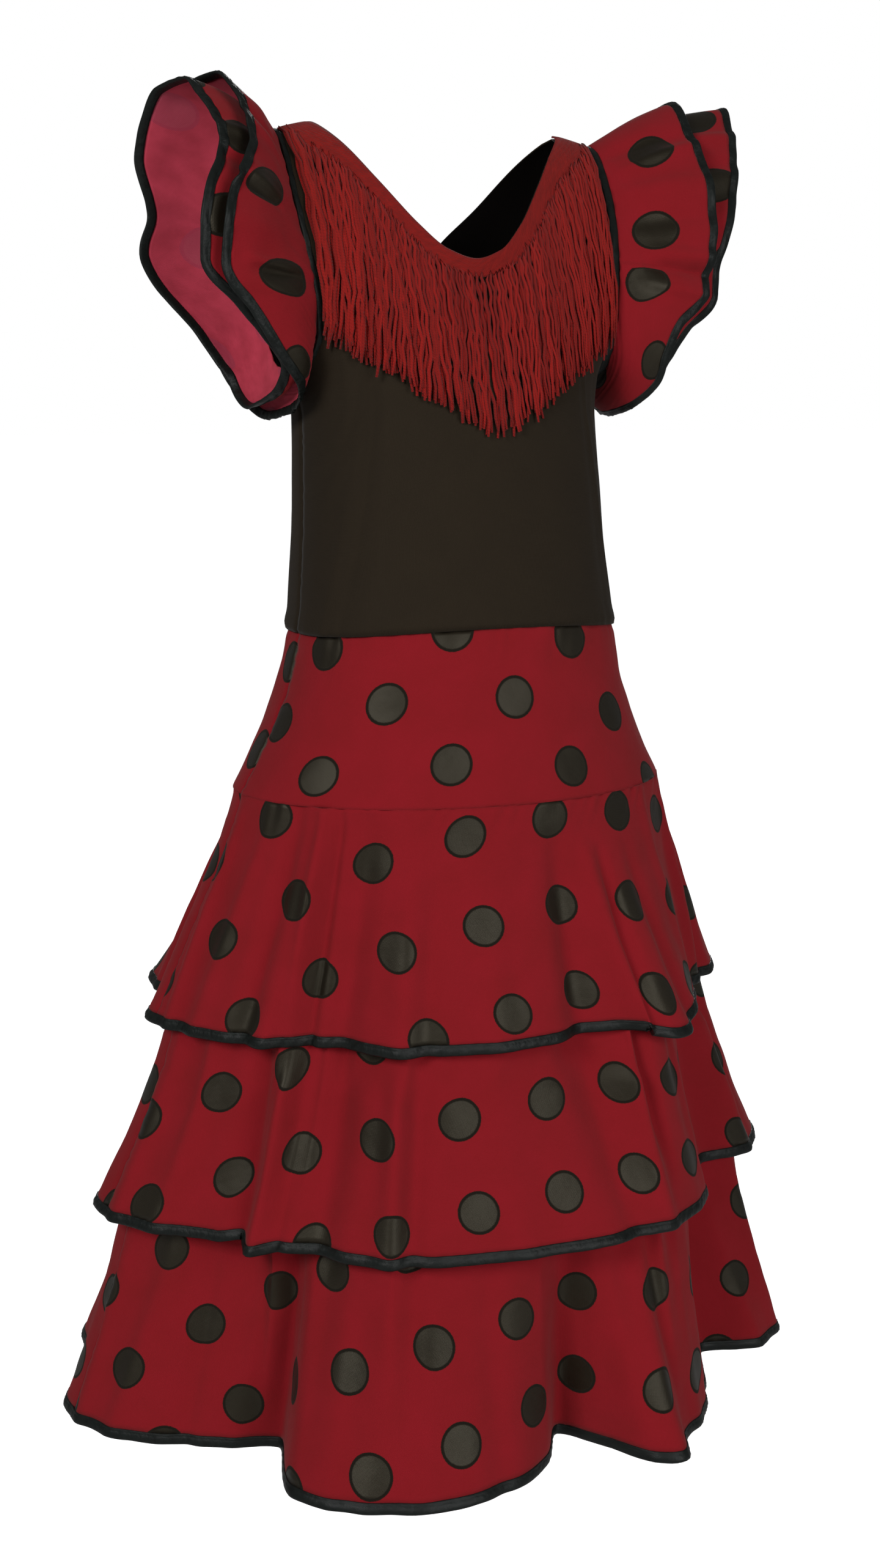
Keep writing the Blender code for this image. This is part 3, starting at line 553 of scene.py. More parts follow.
# %% [markdown]
# ## A sheet of cloth
# Every panel of the dress is one sheet. `bmesh.ops.create_grid` gives flat squares, and a
# function of the panel's own cut then puts each vertex in its place, which keeps the squares
# running with the cloth from seam to seam. The same grid measures the sheet: its lengths
# across and down give the shape that the piece was cut to while it lay flat, and that flat
# shape is stored as the UV map, in metres, so that the print and the weave follow the cut.
# A Solidify modifier then gives the thickness of the cloth.

# %% Measure a grid of points
def grid_of(place, columns, rows):
    """Points of a surface, an array of rows from the hem up, each from turn 0 to 1."""
    return np.array([[tuple(place(i / columns, j / rows)) for i in range(columns + 1)]
                     for j in range(rows + 1)])


def normals_of(points, closed):
    """Outward normals of a grid of points, by the steps to its neighbours."""
    across = np.gradient(points, axis=1)
    if closed:
        wrapped = np.concatenate([points[:, -2:-1], points, points[:, 1:2]], axis=1)
        across = wrapped[:, 2:] - wrapped[:, :-2]
    normal = np.cross(across, np.gradient(points, axis=0))
    return normal / np.maximum(np.linalg.norm(normal, axis=2, keepdims=True), 1e-12)


def lengths_along(points, axis):
    """Length of cloth from the first row or column to each point."""
    steps = np.linalg.norm(np.diff(points, axis=axis), axis=2)
    return np.pad(np.cumsum(steps, axis=axis), [(1 - axis, 0), (axis, 0)])


# %% The flat cut of a panel
TUCK_TURN = 0.006        # turn over which a tucked frill's print moves on


class FlatCut:
    """A ring-shaped piece of cloth as it was cut, worked out from the sewn panel."""

    def __init__(self, points):
        across, down = lengths_along(points, 1), lengths_along(points, 0)
        self.fall = down[-1].mean()
        top, low = across[-1, -1], across[0, -1]
        flare = max(low - top, 0.02 * top)
        self.inner = self.fall * top / flare
        self.outer = self.inner + self.fall
        radius = self.outer - down.mean(axis=1, keepdims=True)
        self.spread = across[:, -1:].mean() / radius.mean()
        angle = (across / across[:, -1:] - 0.5) * self.spread
        self.x, self.y = radius * np.sin(angle), -radius * np.cos(angle)
        self.area = self.spread / 2.0 * (self.outer ** 2 - self.inner ** 2)

    def size(self):
        half = min(self.spread / 2.0, math.pi / 2.0)
        lowest = self.inner * math.cos(min(self.spread / 2.0, math.pi))
        return 2.0 * self.outer * math.sin(half), self.outer - lowest

    def laid(self, turn, across, along, tuck=None):
        """The cut turned and moved on the printed cloth, as it lay before it was cut.

        A tuck hides some of the print: the turn where it lies, and what it takes up.
        """
        cos, sin = math.cos(math.radians(turn)), math.sin(math.radians(turn))
        flat = np.stack([self.x * cos + self.y * sin + across,
                         self.y * cos - self.x * sin + along], axis=2)
        if tuck:
            where, *taken = tuck
            places = np.linspace(0.0, 1.0, flat.shape[1])
            before = np.clip((where - places) / TUCK_TURN + 0.5, 0.0, 1.0)
            flat += before[None, :, None] * np.array(taken)
        return flat


# %% [markdown]
# ## Seams, puckers and crumples
# Where two pieces are sewn, the cloth turns in to the seam and draws up in small puckers.
# Cut cloth is never quite smooth between seams either. Both are added as heights along the
# sheet's own normals: a roll near each sewn edge, ripples that die out away from it, and low
# crumples from `mathutils.noise`, which gives the same values on every run.

# %% Heights over a sheet
# each seam's roll inward (depth, width) and its puckers (depth, reach, pitch)
JERSEY_WAIST = (0.0006, 0.0022), (0.00035, 0.010, 0.013)
JERSEY_SIDE = (0.0006, 0.0030), (0.0003, 0.009, 0.011)
SATIN_SIDE = (0.0006, 0.0025), (0.0005, 0.010, 0.012)
SATIN_TOP = (0.0004, 0.0040), (0.0006, 0.012, 0.014)
YOKE_TOP = (0.0016, 0.0040), (0.0006, 0.012, 0.014)
YOKE_HEM_ROLL = (0.0003, 0.0025)


def roll(distance, depth, width):
    """Metres inward near a sewn edge."""
    return -depth * np.exp(-(distance / width) ** 2)


def puckers(distance, along, depth, reach, pitch):
    """Ripples beside a seam, uneven in pitch and depth."""
    phase = along / pitch * math.tau + 1.9 * np.sin(along / pitch * 1.7)
    uneven = 0.6 + 0.4 * np.sin(along / pitch * 2.3 + 1.0)
    return depth * uneven * np.sin(phase) * np.exp(-distance / reach)


def seam(distance, along, rolled, puckered):
    return roll(distance, *rolled) + puckers(distance, along, *puckered)


def crumples(points, size, height, seed):
    """Low unevenness of cloth over a whole sheet."""
    flat = points.reshape(-1, 3) / size + seed
    heights = [noise.noise(Vector(spot)) for spot in flat]
    return height * np.array(heights).reshape(points.shape[:2])


# %% Sew a sheet
def new_grid(shape, columns, rows):
    """A flat grid, and the column and row of each of its vertices."""
    made = bmesh.ops.create_grid(shape, x_segments=columns, y_segments=rows, size=0.5)["verts"]
    return {vert: (round((vert.co.x + 0.5) * columns), round((vert.co.y + 0.5) * rows))
            for vert in made}


def finished(shape, name):
    """A named object from a bmesh, shaded smooth."""
    mesh = bpy.data.meshes.new(name)
    shape.to_mesh(mesh)
    shape.free()
    mesh.shade_smooth()
    piece = bpy.data.objects.new(name, mesh)
    bpy.context.scene.collection.objects.link(piece)
    return piece


def cloth(name, points, flat, closed=False, thickness=0.0009):
    """A named sheet on a grid of points, with its flat cut as the UV map."""
    sheet = bmesh.new()
    uv = sheet.loops.layers.uv.new("flat")
    spots = new_grid(sheet, points.shape[1] - 1, points.shape[0] - 1)
    for face in sheet.faces:
        for loop in face.loops:
            loop[uv].uv = flat[spots[loop.vert][::-1]]
    for vert, spot in spots.items():
        vert.co = points[spot[::-1]]
    if closed:
        bmesh.ops.remove_doubles(sheet, verts=sheet.verts[:], dist=1e-6)
    piece = finished(sheet, name)
    wall = piece.modifiers.new("thickness", "SOLIDIFY")
    wall.thickness = thickness
    wall.offset = -1.0
    wall.thickness_clamp = 0.5
    wall.material_offset = 1
    print(name, "faces:", len(piece.data.polygons))
    return piece


# %% [markdown]
# ## Finishes
# Two small classes keep the node trees readable: one adds nodes and joins them up, and the
# other makes a material with the plain numbers set on its shader. Colours are linear. The
# cloth's light sheen stays a plain number, because an exported model keeps it so.

# %% Node helpers
class Nodes:
    """A tree that ends in a shader, whose nodes are added one at a time."""

    def __init__(self, tree, shader):
        self.tree, self.shader = tree, tree.nodes[shader]

    def node(self, kind, settings=None, **inputs):
        """Add a node; an input is a number, a colour or another node's socket."""
        made = self.tree.nodes.new("ShaderNode" + kind)
        for key, value in (settings or {}).items():
            setattr(made, key, value)
        for key, value in inputs.items():
            socket = made.inputs[int(key[1:]) if key[1:].isdigit() else key.replace("_", " ")]
            if isinstance(value, bpy.types.NodeSocket):
                self.tree.links.new(value, socket)
            else:
                socket.default_value = (*value, 1.0) if socket.type == "RGBA" else value
        return made

    def join(self, socket, name):
        self.tree.links.new(socket, self.shader.inputs[name])

    def maths(self, operation, *values):
        numbered = {f"i{k}": value for k, value in enumerate(values)}
        return self.node("Math", {"operation": operation}, **numbered).outputs[0]

    def scaled(self, value, low, high, start=0.0, end=1.0, kind="LINEAR"):
        """Turn a value's run from start to end into one from low to high."""
        return self.node("MapRange", {"interpolation_type": kind}, Value=value, From_Min=start,
                         From_Max=end, To_Min=low, To_Max=high).outputs[0]

    def mix(self, share, first, second):
        return self.node("Mix", {"data_type": "RGBA"}, Factor=share, i6=first,
                         i7=second).outputs[2]

    def grain(self, vector, size, detail=2.0):
        """Noise whose features have a size in metres."""
        return self.node("TexNoise", Vector=vector, Scale=1.0 / size, Detail=detail).outputs[0]

    def ribs(self, distance, pitch):
        """A wave from 0 to 1 that repeats at a pitch in metres."""
        wave = self.maths("SINE", self.maths("MULTIPLY", distance, math.tau / pitch))
        return self.maths("MULTIPLY_ADD", wave, 0.5, 0.5)

    def bump(self, height, distance, strength=1.0):
        made = self.node("Bump", Height=height, Distance=distance, Strength=strength)
        self.join(made.outputs[0], "Normal")

    def flat_map(self):
        """The cut's own coordinates, in metres: the whole vector, across and along."""
        vector = self.node("UVMap", {"uv_map": "flat"}).outputs[0]
        parts = self.node("SeparateXYZ", i0=vector)
        return vector, parts.outputs[0], parts.outputs[1]


class Finish(Nodes):
    """A material with its plain numbers set on its shader."""

    def __init__(self, name, roughness, **numbers):
        self.material = bpy.data.materials.new(name)
        self.material.use_nodes = True
        super().__init__(self.material.node_tree, "Principled BSDF")
        for key, value in {"Roughness": roughness, **numbers}.items():
            self.shader.inputs[key.replace("_", " ")].default_value = value


# %% [markdown]
# ## The dotted cloth
# The red cloth is a plain-woven cotton mix with a grey-black dot printed on a square
# repeat. The distance from the middle of its own square decides whether a place is inside a
# dot, so one short chain of nodes prints every dot, and because it reads the flat cut, each
# dot bends with the folds. The ink lies thicker in a thin line round each dot. The wrong
# side has the same print, paler, as the dye has not gone right through.

# %% Red dotted cloth, right side and wrong side
DOT_SPACING = 0.0600
DOT_RADIUS = 0.0138
DOT_LINE = 0.0019        # width of the thicker ink round a dot
DOT_SOFT = 0.0003        # half the width over which the print's edge fades
DOT_RAGGED = 0.0007      # how far the print's edge strays
THREAD = 0.00062         # pitch of the weave
RED = (0.205, 0.0014, 0.0088)
DEEP_RED = (0.160, 0.0010, 0.0050)
DOT_GREY = (0.0055, 0.0036, 0.0014)
DOT_RIM = (0.0022, 0.0014, 0.0008)
PALE_RED = (0.520, 0.0480, 0.0880)
PALE_SHADE = (0.260, 0.0180, 0.0330)
PALE_DOT = (0.330, 0.0340, 0.0660)


def dotted(name, red, shade, dot, rim, patch):
    finish = Finish(name, 0.90, Sheen_Weight=0.03, Sheen_Roughness=0.45,
                    Specular_IOR_Level=0.32, Specular_Tint=(1.0, 0.92, 0.72, 1.0))
    flat, across, along = finish.flat_map()
    square = finish.node("VectorMath", {"operation": "SCALE"}, i0=flat,
                         Scale=1.0 / DOT_SPACING).outputs[0]
    inside = finish.node("VectorMath", {"operation": "FRACTION"}, i0=square).outputs[0]
    away = finish.node("VectorMath", {"operation": "DISTANCE"}, i0=inside,
                       i1=(0.5, 0.5, 0.0)).outputs["Value"]
    ragged = finish.maths("MULTIPLY", finish.grain(flat, 0.0011), DOT_RAGGED)
    away = finish.maths("MULTIPLY_ADD", away, DOT_SPACING, -DOT_RAGGED / 2.0)
    away = finish.maths("ADD", away, ragged)
    printed = finish.scaled(away, 1.0, 0.0, DOT_RADIUS - DOT_SOFT, DOT_RADIUS + DOT_SOFT,
                            "SMOOTHSTEP")
    inked = finish.scaled(away, 0.0, 1.0, DOT_RADIUS - DOT_LINE - 0.0005,
                          DOT_RADIUS - DOT_LINE + 0.0005, "SMOOTHSTEP")
    ground = finish.mix(finish.grain(flat, patch, 3.0), red, shade)
    finish.join(finish.mix(printed, ground, finish.mix(inked, dot, rim)), "Base Color")
    finish.join(finish.scaled(inked, 0.48, 0.96), "Roughness")
    weave = finish.maths("ADD", finish.ribs(across, THREAD), finish.ribs(along, THREAD))
    finish.bump(finish.maths("MULTIPLY_ADD", weave, 0.08, finish.grain(flat, 0.009, 3.0)),
                0.0006, 0.5)
    return finish.material


right_side = dotted("dotted_cloth", RED, DEEP_RED, DOT_GREY, DOT_RIM, 0.030)
wrong_side = dotted("dotted_cloth_wrong_side", PALE_RED, PALE_SHADE, PALE_DOT, PALE_DOT, 0.014)
print("dots are", round(2000 * DOT_RADIUS, 1), "mm across, every", 1000 * DOT_SPACING, "mm")

# %% [markdown]
# ## Jersey, binding and yarn
# The bodice is a fine black jersey, which shows as narrow wales that run up and down. Its
# inside is painted a deeper black, a painted shade for the dark inside the dress. The bindings
# are cut on the cross from a black satin, so their weave runs at a slant; they shine a little,
# and grey-green patches in their colour are a painted sheen. The fringe is rayon yarn: each
# strand has its own shade, stored in a vertex layer, and a twist that its UV map carries.

# %% Black jersey, black binding, red yarn
BLACK_JERSEY = (0.0105, 0.0060, 0.0016)
WORN_JERSEY = (0.0140, 0.0084, 0.0028)
# painted shade: the near black of the bodice's shaded inside
PAINTED_SHADE_BLACK = (0.0030, 0.0022, 0.0018)
BLACK_SATIN = (0.0022, 0.0024, 0.0022)
# painted sheen: the grey-green of the satin's highlights
PAINTED_SHEEN_SATIN = (0.0080, 0.0112, 0.0098)
RED_YARN = (0.235, 0.0045, 0.0022)
DEEP_YARN = (0.105, 0.0025, 0.0012)


def black_jersey(name, colour, worn, sheen):
    finish = Finish(name, 0.85, Sheen_Weight=sheen, Sheen_Roughness=0.40,
                    Specular_IOR_Level=5.0 * sheen)
    flat, across, along = finish.flat_map()
    finish.join(finish.mix(finish.grain(flat, 0.025, 4.0), colour, worn), "Base Color")
    stitches = finish.maths("MULTIPLY", finish.ribs(along, 0.00070), 0.3)
    finish.bump(finish.maths("ADD", finish.ribs(across, 0.00090), stitches), 0.0002, 0.35)
    return finish.material


def black_binding():
    finish = Finish("black_binding", 0.42, Specular_IOR_Level=0.16)
    flat, across, along = finish.flat_map()
    # noise patches of painted sheen, grey-green on the black satin
    finish.join(finish.mix(finish.grain(flat, 0.006), BLACK_SATIN, PAINTED_SHEEN_SATIN), "Base Color")
    slant = finish.ribs(finish.maths("ADD", across, along), 0.00080)
    finish.bump(finish.maths("MULTIPLY_ADD", slant, 0.10, finish.grain(flat, 0.0030)),
                0.0008, 0.5)
    return finish.material


def red_yarn():
    finish = Finish("red_yarn", 0.85, Sheen_Weight=0.05, Specular_IOR_Level=0.20)
    _, around, along = finish.flat_map()
    shade = finish.node("Attribute", {"attribute_name": "shade"}).outputs["Fac"]
    finish.join(finish.mix(shade, DEEP_YARN, RED_YARN), "Base Color")
    slant = finish.maths("ADD", finish.maths("MULTIPLY", around, 1.6), along)
    finish.bump(finish.ribs(slant, 0.0022), 0.0004, 0.6)
    return finish.material


def yarn_heading():
    finish = Finish("yarn_heading", 0.85, Sheen_Weight=0.05, Specular_IOR_Level=0.20)
    flat, across, along = finish.flat_map()
    finish.join(finish.mix(finish.grain(flat, 0.004), RED_YARN, DEEP_YARN), "Base Color")
    rows = finish.maths("MULTIPLY", finish.ribs(along, 0.0030), 0.6)
    finish.bump(finish.maths("ADD", finish.ribs(across, 0.0016), rows), 0.0004, 0.6)
    return finish.material


jersey = black_jersey("black_jersey", BLACK_JERSEY, WORN_JERSEY, 0.04)
# the jersey's inside face gets a painted shade, a deeper black than the cloth has
jersey_inside_painted_shade = black_jersey("black_jersey_inside_painted_shade", PAINTED_SHADE_BLACK, PAINTED_SHADE_BLACK, 0.01)
binding, yarn, heading_yarn = black_binding(), red_yarn(), yarn_heading()
print("finishes:", [material.name for material in bpy.data.materials if material.use_nodes])


# %% Dress a piece
def dress(piece, slot, materials, *nodes):
    """Give a piece its finishes, hide the solids that it stands for and attach it to the root.
    The slot is not used.
    """
    for material in materials:
        piece.data.materials.append(material)
    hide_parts(*nodes)
    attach(piece, "root")
    return piece


# %% [markdown]
# ## The bodice
# A front and a back of black jersey are sewn at the shoulders and sides. The V neck is cut
# in their upper edges, and the lower edge is sewn over the yoke, so it ends in a crisp step.
# Each panel is one grid that widens from the waist and ends along the neck, the shoulder
# and the armhole.

# %% Bodice front and back
HALVES = ((FRONT, "front"), (BACK, "back"))
BODICE_GRID = (144, 96)
BODICE_CREASES = (       # turn in degrees over a panel, lean, start, end, half width, mm
    (14, 10, -0.20, 0.60, 3.5, 0.9), (24, 14, -0.10, 0.45, 3.0, -0.7),
    (38, -6, 0.00, 0.50, 4.0, 0.5), (142, 8, -0.10, 0.45, 4.0, -0.6),
    (158, -12, -0.15, 0.55, 3.2, 0.9), (168, -8, 0.30, 1.00, 3.0, -0.7),
    (12, 12, 0.35, 1.00, 3.0, 0.8),
)

for side, half in HALVES:
    points = grid_of(bodice_panel(side), *BODICE_GRID)
    across, up = lengths_along(points, 1), lengths_along(points, 0)
    flat = np.stack([across - across[:, -1:] / 2.0, up], axis=2)
    relief = crumples(points, 0.05, 0.0006, 3.0)
    for j, row in enumerate(relief):
        for i in range(len(row)):
            row[i] += crease_height(BODICE_CREASES, 180.0 * i / BODICE_GRID[0],
                                    j / BODICE_GRID[1], 720.0)
    relief += seam(up, across, *JERSEY_WAIST) - roll(up - 0.004, 0.0012, 0.006)
    for edge in (across, across[:, -1:] - across):
        relief += seam(edge, up, *JERSEY_SIDE)
    points = points + normals_of(points, False) * relief[..., None]
    piece = cloth(f"bodice_{half}_cloth", points, flat, thickness=0.0010)
    dress(piece, "jersey", (jersey, jersey_inside_painted_shade), f"bodice_{half}")

# %% [markdown]
# ## The skirt
# A hip yoke and three flounces, each cut as a ring of the dotted cloth and sewn to the one
# above. Because each ring is wider at its hem than at its seam, it falls in folds. The folds
# come from the same table as the solids, so the print, the hem and the binding follow them.
# Each row of `LAYS` says how a cut piece lay on the printed cloth: its turn, how far it was
# moved across and along, and for the left upper frill the tuck that hides some of the print.

# %% How each piece was laid on the print
LAYS = {
    "yoke_front": (40.0, 0.0120, 0.0072), "yoke_back": (20.0, 0.0100, 0.0130),
    "tier_1_front": (6.0, 0.0456, 0.0216), "tier_1_back": (12.0, 0.0090, 0.0040),
    "tier_2_front": (4.0, 0.0168, 0.0576), "tier_2_back": (-8.0, 0.0170, 0.0220),
    "tier_3_front": (2.0, 0.0264, 0.0216), "tier_3_back": (3.0, 0.0240, 0.0110),
    "frill_under_right": (15.0, 0.0000, 0.0100), "frill_upper_right": (25.6, 0.0127, 0.0407),
    "frill_under_left": (-29.9, 0.0276, 0.0325),
    "frill_upper_left": (-29.9, 0.0001, 0.0407, (0.744, 0.0115, -0.0246)),
}


def sew_ring(name, place, grid, top=SATIN_TOP, closed=False, hem=(0.0, 1.0)):
    """One ring-cut piece of the dotted cloth, with its seams rolled and puckered."""
    columns, rows = grid
    past = 0 if closed else 1  # an open piece is measured one column past each side

    def wide_place(turn, rise):
        return place((turn * (columns + 2 * past) - past) / columns, rise)

    points = grid_of(wide_place, columns + 2 * past, rows)
    kept = slice(past, columns + past + 1)
    points, normals = points[:, kept], normals_of(points, closed)[:, kept]
    cut = FlatCut(points)
    across, up = lengths_along(points, 1), lengths_along(points, 0)
    sides = (across, across[:, -1:] - across)
    ease = np.clip(np.minimum(*sides) / 0.02, 0.0, 1.0)
    relief = crumples(points, 0.035, 0.0009, 7.0) + crumples(points, 0.016, 0.0004, 2.0)
    relief *= (1.5 if closed else 1.0) * (1.0 - np.exp(-(up / 0.010) ** 2))
    relief += roll(up, *hem) + roll(up[-1:] - up, *top[0])
    relief += ease * puckers(up[-1:] - up, across, *top[1])
    if closed:
        relief *= ease
    else:
        for edge in sides:
            relief += seam(edge, up, *SATIN_SIDE)
    points = points + normals * relief[..., None]
    piece = cloth(name + "_cloth", points, cut.laid(*LAYS[name]), closed)
    return dress(piece, "satin", (right_side, wrong_side), name), cut


# %% Yoke and flounces
YOKE_GRID = (120, 44)
FLOUNCE_GRIDS = ((260, 48), (280, 46), (340, 46))


def flounce_at(number):
    return lambda angle, fall: flounce_point(number, angle, fall)


sheets = [(*sew_ring(f"yoke_{half}", skirt_panel(yoke_point, side), YOKE_GRID, YOKE_TOP,
                     hem=YOKE_HEM_ROLL), []) for side, half in HALVES]
for number, (name, *_) in enumerate(FLOUNCES):
    for side, half in HALVES:
        sheets.append((*sew_ring(f"{name}_{half}", skirt_panel(flounce_at(number), side),
                                 FLOUNCE_GRIDS[number]), []))
print("skirt faces:", sum(len(piece.data.polygons) for piece, _, _ in sheets))

# %% [markdown]
# ## Bindings
# Every hem is bound: a strip of black satin is folded over the raw edge and stitched, so a
# section through it is a narrow loop with a groove where the stitches pull it in. The loop
# is given once as a short table, and a grid is wrapped round it and along the hem, then
# closed both ways by merging its edges. Bias strips never lie quite flat, so the loop
# swells and shrinks a little from stitch to stitch, and twists. The frills are light and
# have a smaller strip. The strip in the right armhole is nearly hidden, so it is narrower.

# %% Bind an edge
HEM_LOOP = (             # millimetres outward from the cloth's middle, millimetres down
    (0.95, -0.75), (1.30, -0.30), (1.05, 0.55), (1.35, 1.50), (1.48, 3.00), (1.40, 4.60),
    (1.05, 5.80), (0.45, 6.40), (-0.45, 6.40), (-1.05, 5.80), (-1.35, 4.40), (-1.35, 2.60),
    (-1.10, 0.80), (-1.00, -0.40), (0.00, -0.85),
)
FRILL_LOOP = [(0.88 * out, 0.86 * low) for out, low in HEM_LOOP]
ARM_LOOPS = {            # the same round each armhole, where the strip lies on the jersey
    1: ((0.20, -1.60), (1.15, -1.40), (1.30, -1.00), (1.60, -0.30), (1.75, 1.20), (1.60, 3.00),
        (1.20, 4.40), (0.30, 5.20), (-0.80, 4.90), (-1.50, 3.60), (-1.60, 1.20),
        (-1.20, -1.00)),
    -1: ((0.20, -1.60), (1.05, -1.40), (1.15, -1.00), (1.25, -0.30), (1.25, 0.60),
         (1.00, 1.50), (0.40, 2.10), (-0.50, 2.10), (-1.10, 1.40), (-1.30, 0.40),
         (-1.20, -1.00)),
}
STRIP_CELL = (0.0022, 0.0011)  # cloth that a face of the strip takes, along and round it
STRIP_TWIST = 0.0095     # length in which the strip's slanted ripples repeat
SWELL = 0.22             # share by which the strip swells, and millimetres that it ripples


def bind(name, frame_at, loop, columns, node):
    """A folded strip along an edge; frame_at(turn) gives a place, outward and down."""
    frames = [frame_at(i / columns) for i in range(columns)]
    pitch = (frames[1][0] - frames[0][0]).length
    strip = bmesh.new()
    uv = strip.loops.layers.uv.new("flat")
    spots = new_grid(strip, columns, len(loop))
    for face in strip.faces:
        for corner in face.loops:
            corner[uv].uv = [cell * spot for cell, spot in zip(STRIP_CELL, spots[corner.vert])]
    for vert, (i, j) in spots.items():
        place, outward, down = frames[i % columns]
        out, low = loop[j % len(loop)]
        out *= 1.0 + SWELL * (noise.noise(place * 160.0) + 0.5 * noise.noise(place * 420.0))
        twist = math.tau * pitch * i / STRIP_TWIST + 0.9 * low + 3.0 * noise.noise(place * 30.0)
        out += SWELL * math.sin(twist) if out > 0.5 else 0.0
        low += 0.35 * noise.noise(place * 90.0) * max(low, 0.0) / 6.0
        vert.co = place + (outward * out + down * low) * 0.001
    bmesh.ops.remove_doubles(strip, verts=strip.verts[:], dist=1e-6)
    bmesh.ops.recalc_face_normals(strip, faces=strip.faces[:])
    print(name, "step:", round(1000 * pitch, 1), "mm")
    return dress(finished(strip, name), "tape", (binding,), node)


def hem_frame(point_at):
    """Where a hem's binding sits: the middle of the cloth, outward and down."""
    def frame_at(turn):
        step = 0.0005
        hem = point_at(turn, 1.0)
        across = point_at(turn + step, 1.0) - point_at(turn - step, 1.0)
        outward = (hem - point_at(turn, 1.0 - step)).cross(across).normalized()
        down = across.cross(outward).normalized()
        return hem - outward * SATIN / 2.0 + down * TAPE_GAP, outward, down
    return frame_at


# %% Bind the flounces
HEM_COLUMNS = 720


def flounce_round(number):
    """A flounce's place by its turn, as its binding asks for it."""
    return lambda turn, fall: flounce_point(number, math.tau * turn, fall)


for number, (name, *_) in enumerate(FLOUNCES):
    tape = bind(f"{name}_binding", hem_frame(flounce_round(number)), HEM_LOOP, HEM_COLUMNS,
                f"{name}_tape")
    for piece, _, trims in sheets:
        if piece.name.startswith(f"{name}_front"):
            trims.append(tape)

# %% [markdown]
# ## Sleeve frills and armholes
# Each shoulder carries two ring-cut frills, the shorter one over the longer one. They are
# sewn into the armhole, whose edge is finished with a narrow black strip. The cloth's paler
# wrong side shows where a frill lifts. The right frills reach a little over their strip. A
# frill is one closed ring, so its grid is closed by merging its first and last columns.

# %% Four frills
HANDS = ((-1, "right"), (1, "left"))
FRILL_GRID = (360, 32)
FRILL_COLUMNS = 320
STRIP_OVERLAP = {-1: 0.0028, 1: 0.0}  # how far a frill reaches over its narrow strip


def frill_panel(frill_at, overlap):
    """A frill's place on a grid, from its rim up to the armhole and over the strip."""
    def place(turn, rise):
        length = (frill_at(turn, 1.0) - frill_at(turn, 0.0)).length
        return frill_at(turn, 1.0 - rise * (1.0 + overlap / length))
    return place


for hand, hand_name in HANDS:
    for layer in ("under", "upper"):
        frill_at = creased_frill(hand, layer)
        name = f"frill_{layer}_{hand_name}"
        piece, cut = sew_ring(name, frill_panel(frill_at, STRIP_OVERLAP[hand]), FRILL_GRID,
                              closed=True)
        tape = bind(name + "_binding", hem_frame(frill_at), FRILL_LOOP, FRILL_COLUMNS,
                    name + "_tape")
        sheets.append((piece, cut, [tape]))


# %% Armhole strips
ARM_COLUMNS = 180


def armhole_frame(hand):
    """The edge of an armhole, outward from the arm, and along the arm."""
    middle = (UNDERARM + STRAP_DROP) / 2.0
    arm = Vector((0.0, body_shift(middle), -middle))

    def frame_at(turn):
        place = armhole_point(hand, turn)
        outward = place - arm
        outward.x = 0.0
        return place, outward.normalized(), Vector((hand, 0.0, 0.0))
    return frame_at


for hand, hand_name in HANDS:
    bind(f"armhole_strip_{hand_name}", armhole_frame(hand), ARM_LOOPS[hand], ARM_COLUMNS,
         f"armhole_piping_{hand_name}")

# %% [markdown]
# ## The fringe
# The front neckline carries a fringe: a firm band of yarn, a finger's width, from which some
# three hundred strands hang. Each strand is a thin closed tube that starts as a small grid
# rolled round its own line. The strands lie in three layers, so dark slits show between
# them only here and there, and each is a little longer or shorter than the next. They share
# one seed, so the fringe is the same on every run.

# %% Lines of the fringe
HEADING_WIDTH = 0.012
SHOULDER_WIDTH = 0.0238  # the heading is gathered wider toward the neck points, over the strap
STRAND_SPREAD = 0.0135   # outward travel of the outermost strands
BUNCHING = 0.0012        # strands lean together in bunches about a centimetre apart
BUNCH_RATE, BUNCH_DRIFT = 640.0, 170.0  # radians for each metre along the neck, and of drift
STRAND_CURL = 0.0009     # how far a strand's own small waves stray
# distance from the middle, drop of the fringe's lower edge
FRINGE_EDGE = (
    (0, 0.197), (0.02, 0.188), (0.045, 0.173), (0.067, 0.158), (0.09, 0.143), (0.113, 0.122),
)
fringe_drop = Curve(mirrored(FRINGE_EDGE))


def body_normal(x, drop):
    """Outward direction of the bodice's front."""
    step = 0.00002
    fall = max(drop, shoulder_fall(x) + step)
    across = body_point(x + step, fall, FRONT) - body_point(x - step, fall, FRONT)
    upward = body_point(x, fall - step, FRONT) - body_point(x, fall + step, FRONT)
    return across.cross(upward).normalized()


def on_bodice(x, drop, lift):
    """A place at a height above the bodice front's outer face."""
    drop = max(drop, shoulder_fall(x))
    return body_point(x, drop, FRONT) + body_normal(x, drop) * lift


def neck_stations(count):
    """Distances from the middle that part the front neck edge into equal lengths."""
    fine = 400
    xs = [NECK_HALF_WIDTH * (2.0 * i / fine - 1.0) for i in range(fine + 1)]
    points = [body_point(x, neck_drop[FRONT](abs(x)), FRONT) for x in xs]
    lengths = [0.0]
    for before, after in zip(points, points[1:]):
        lengths.append(lengths[-1] + (after - before).length)
    x_at = Curve(zip(lengths, xs))
    return [x_at(lengths[-1] * i / count) for i in range(count + 1)]


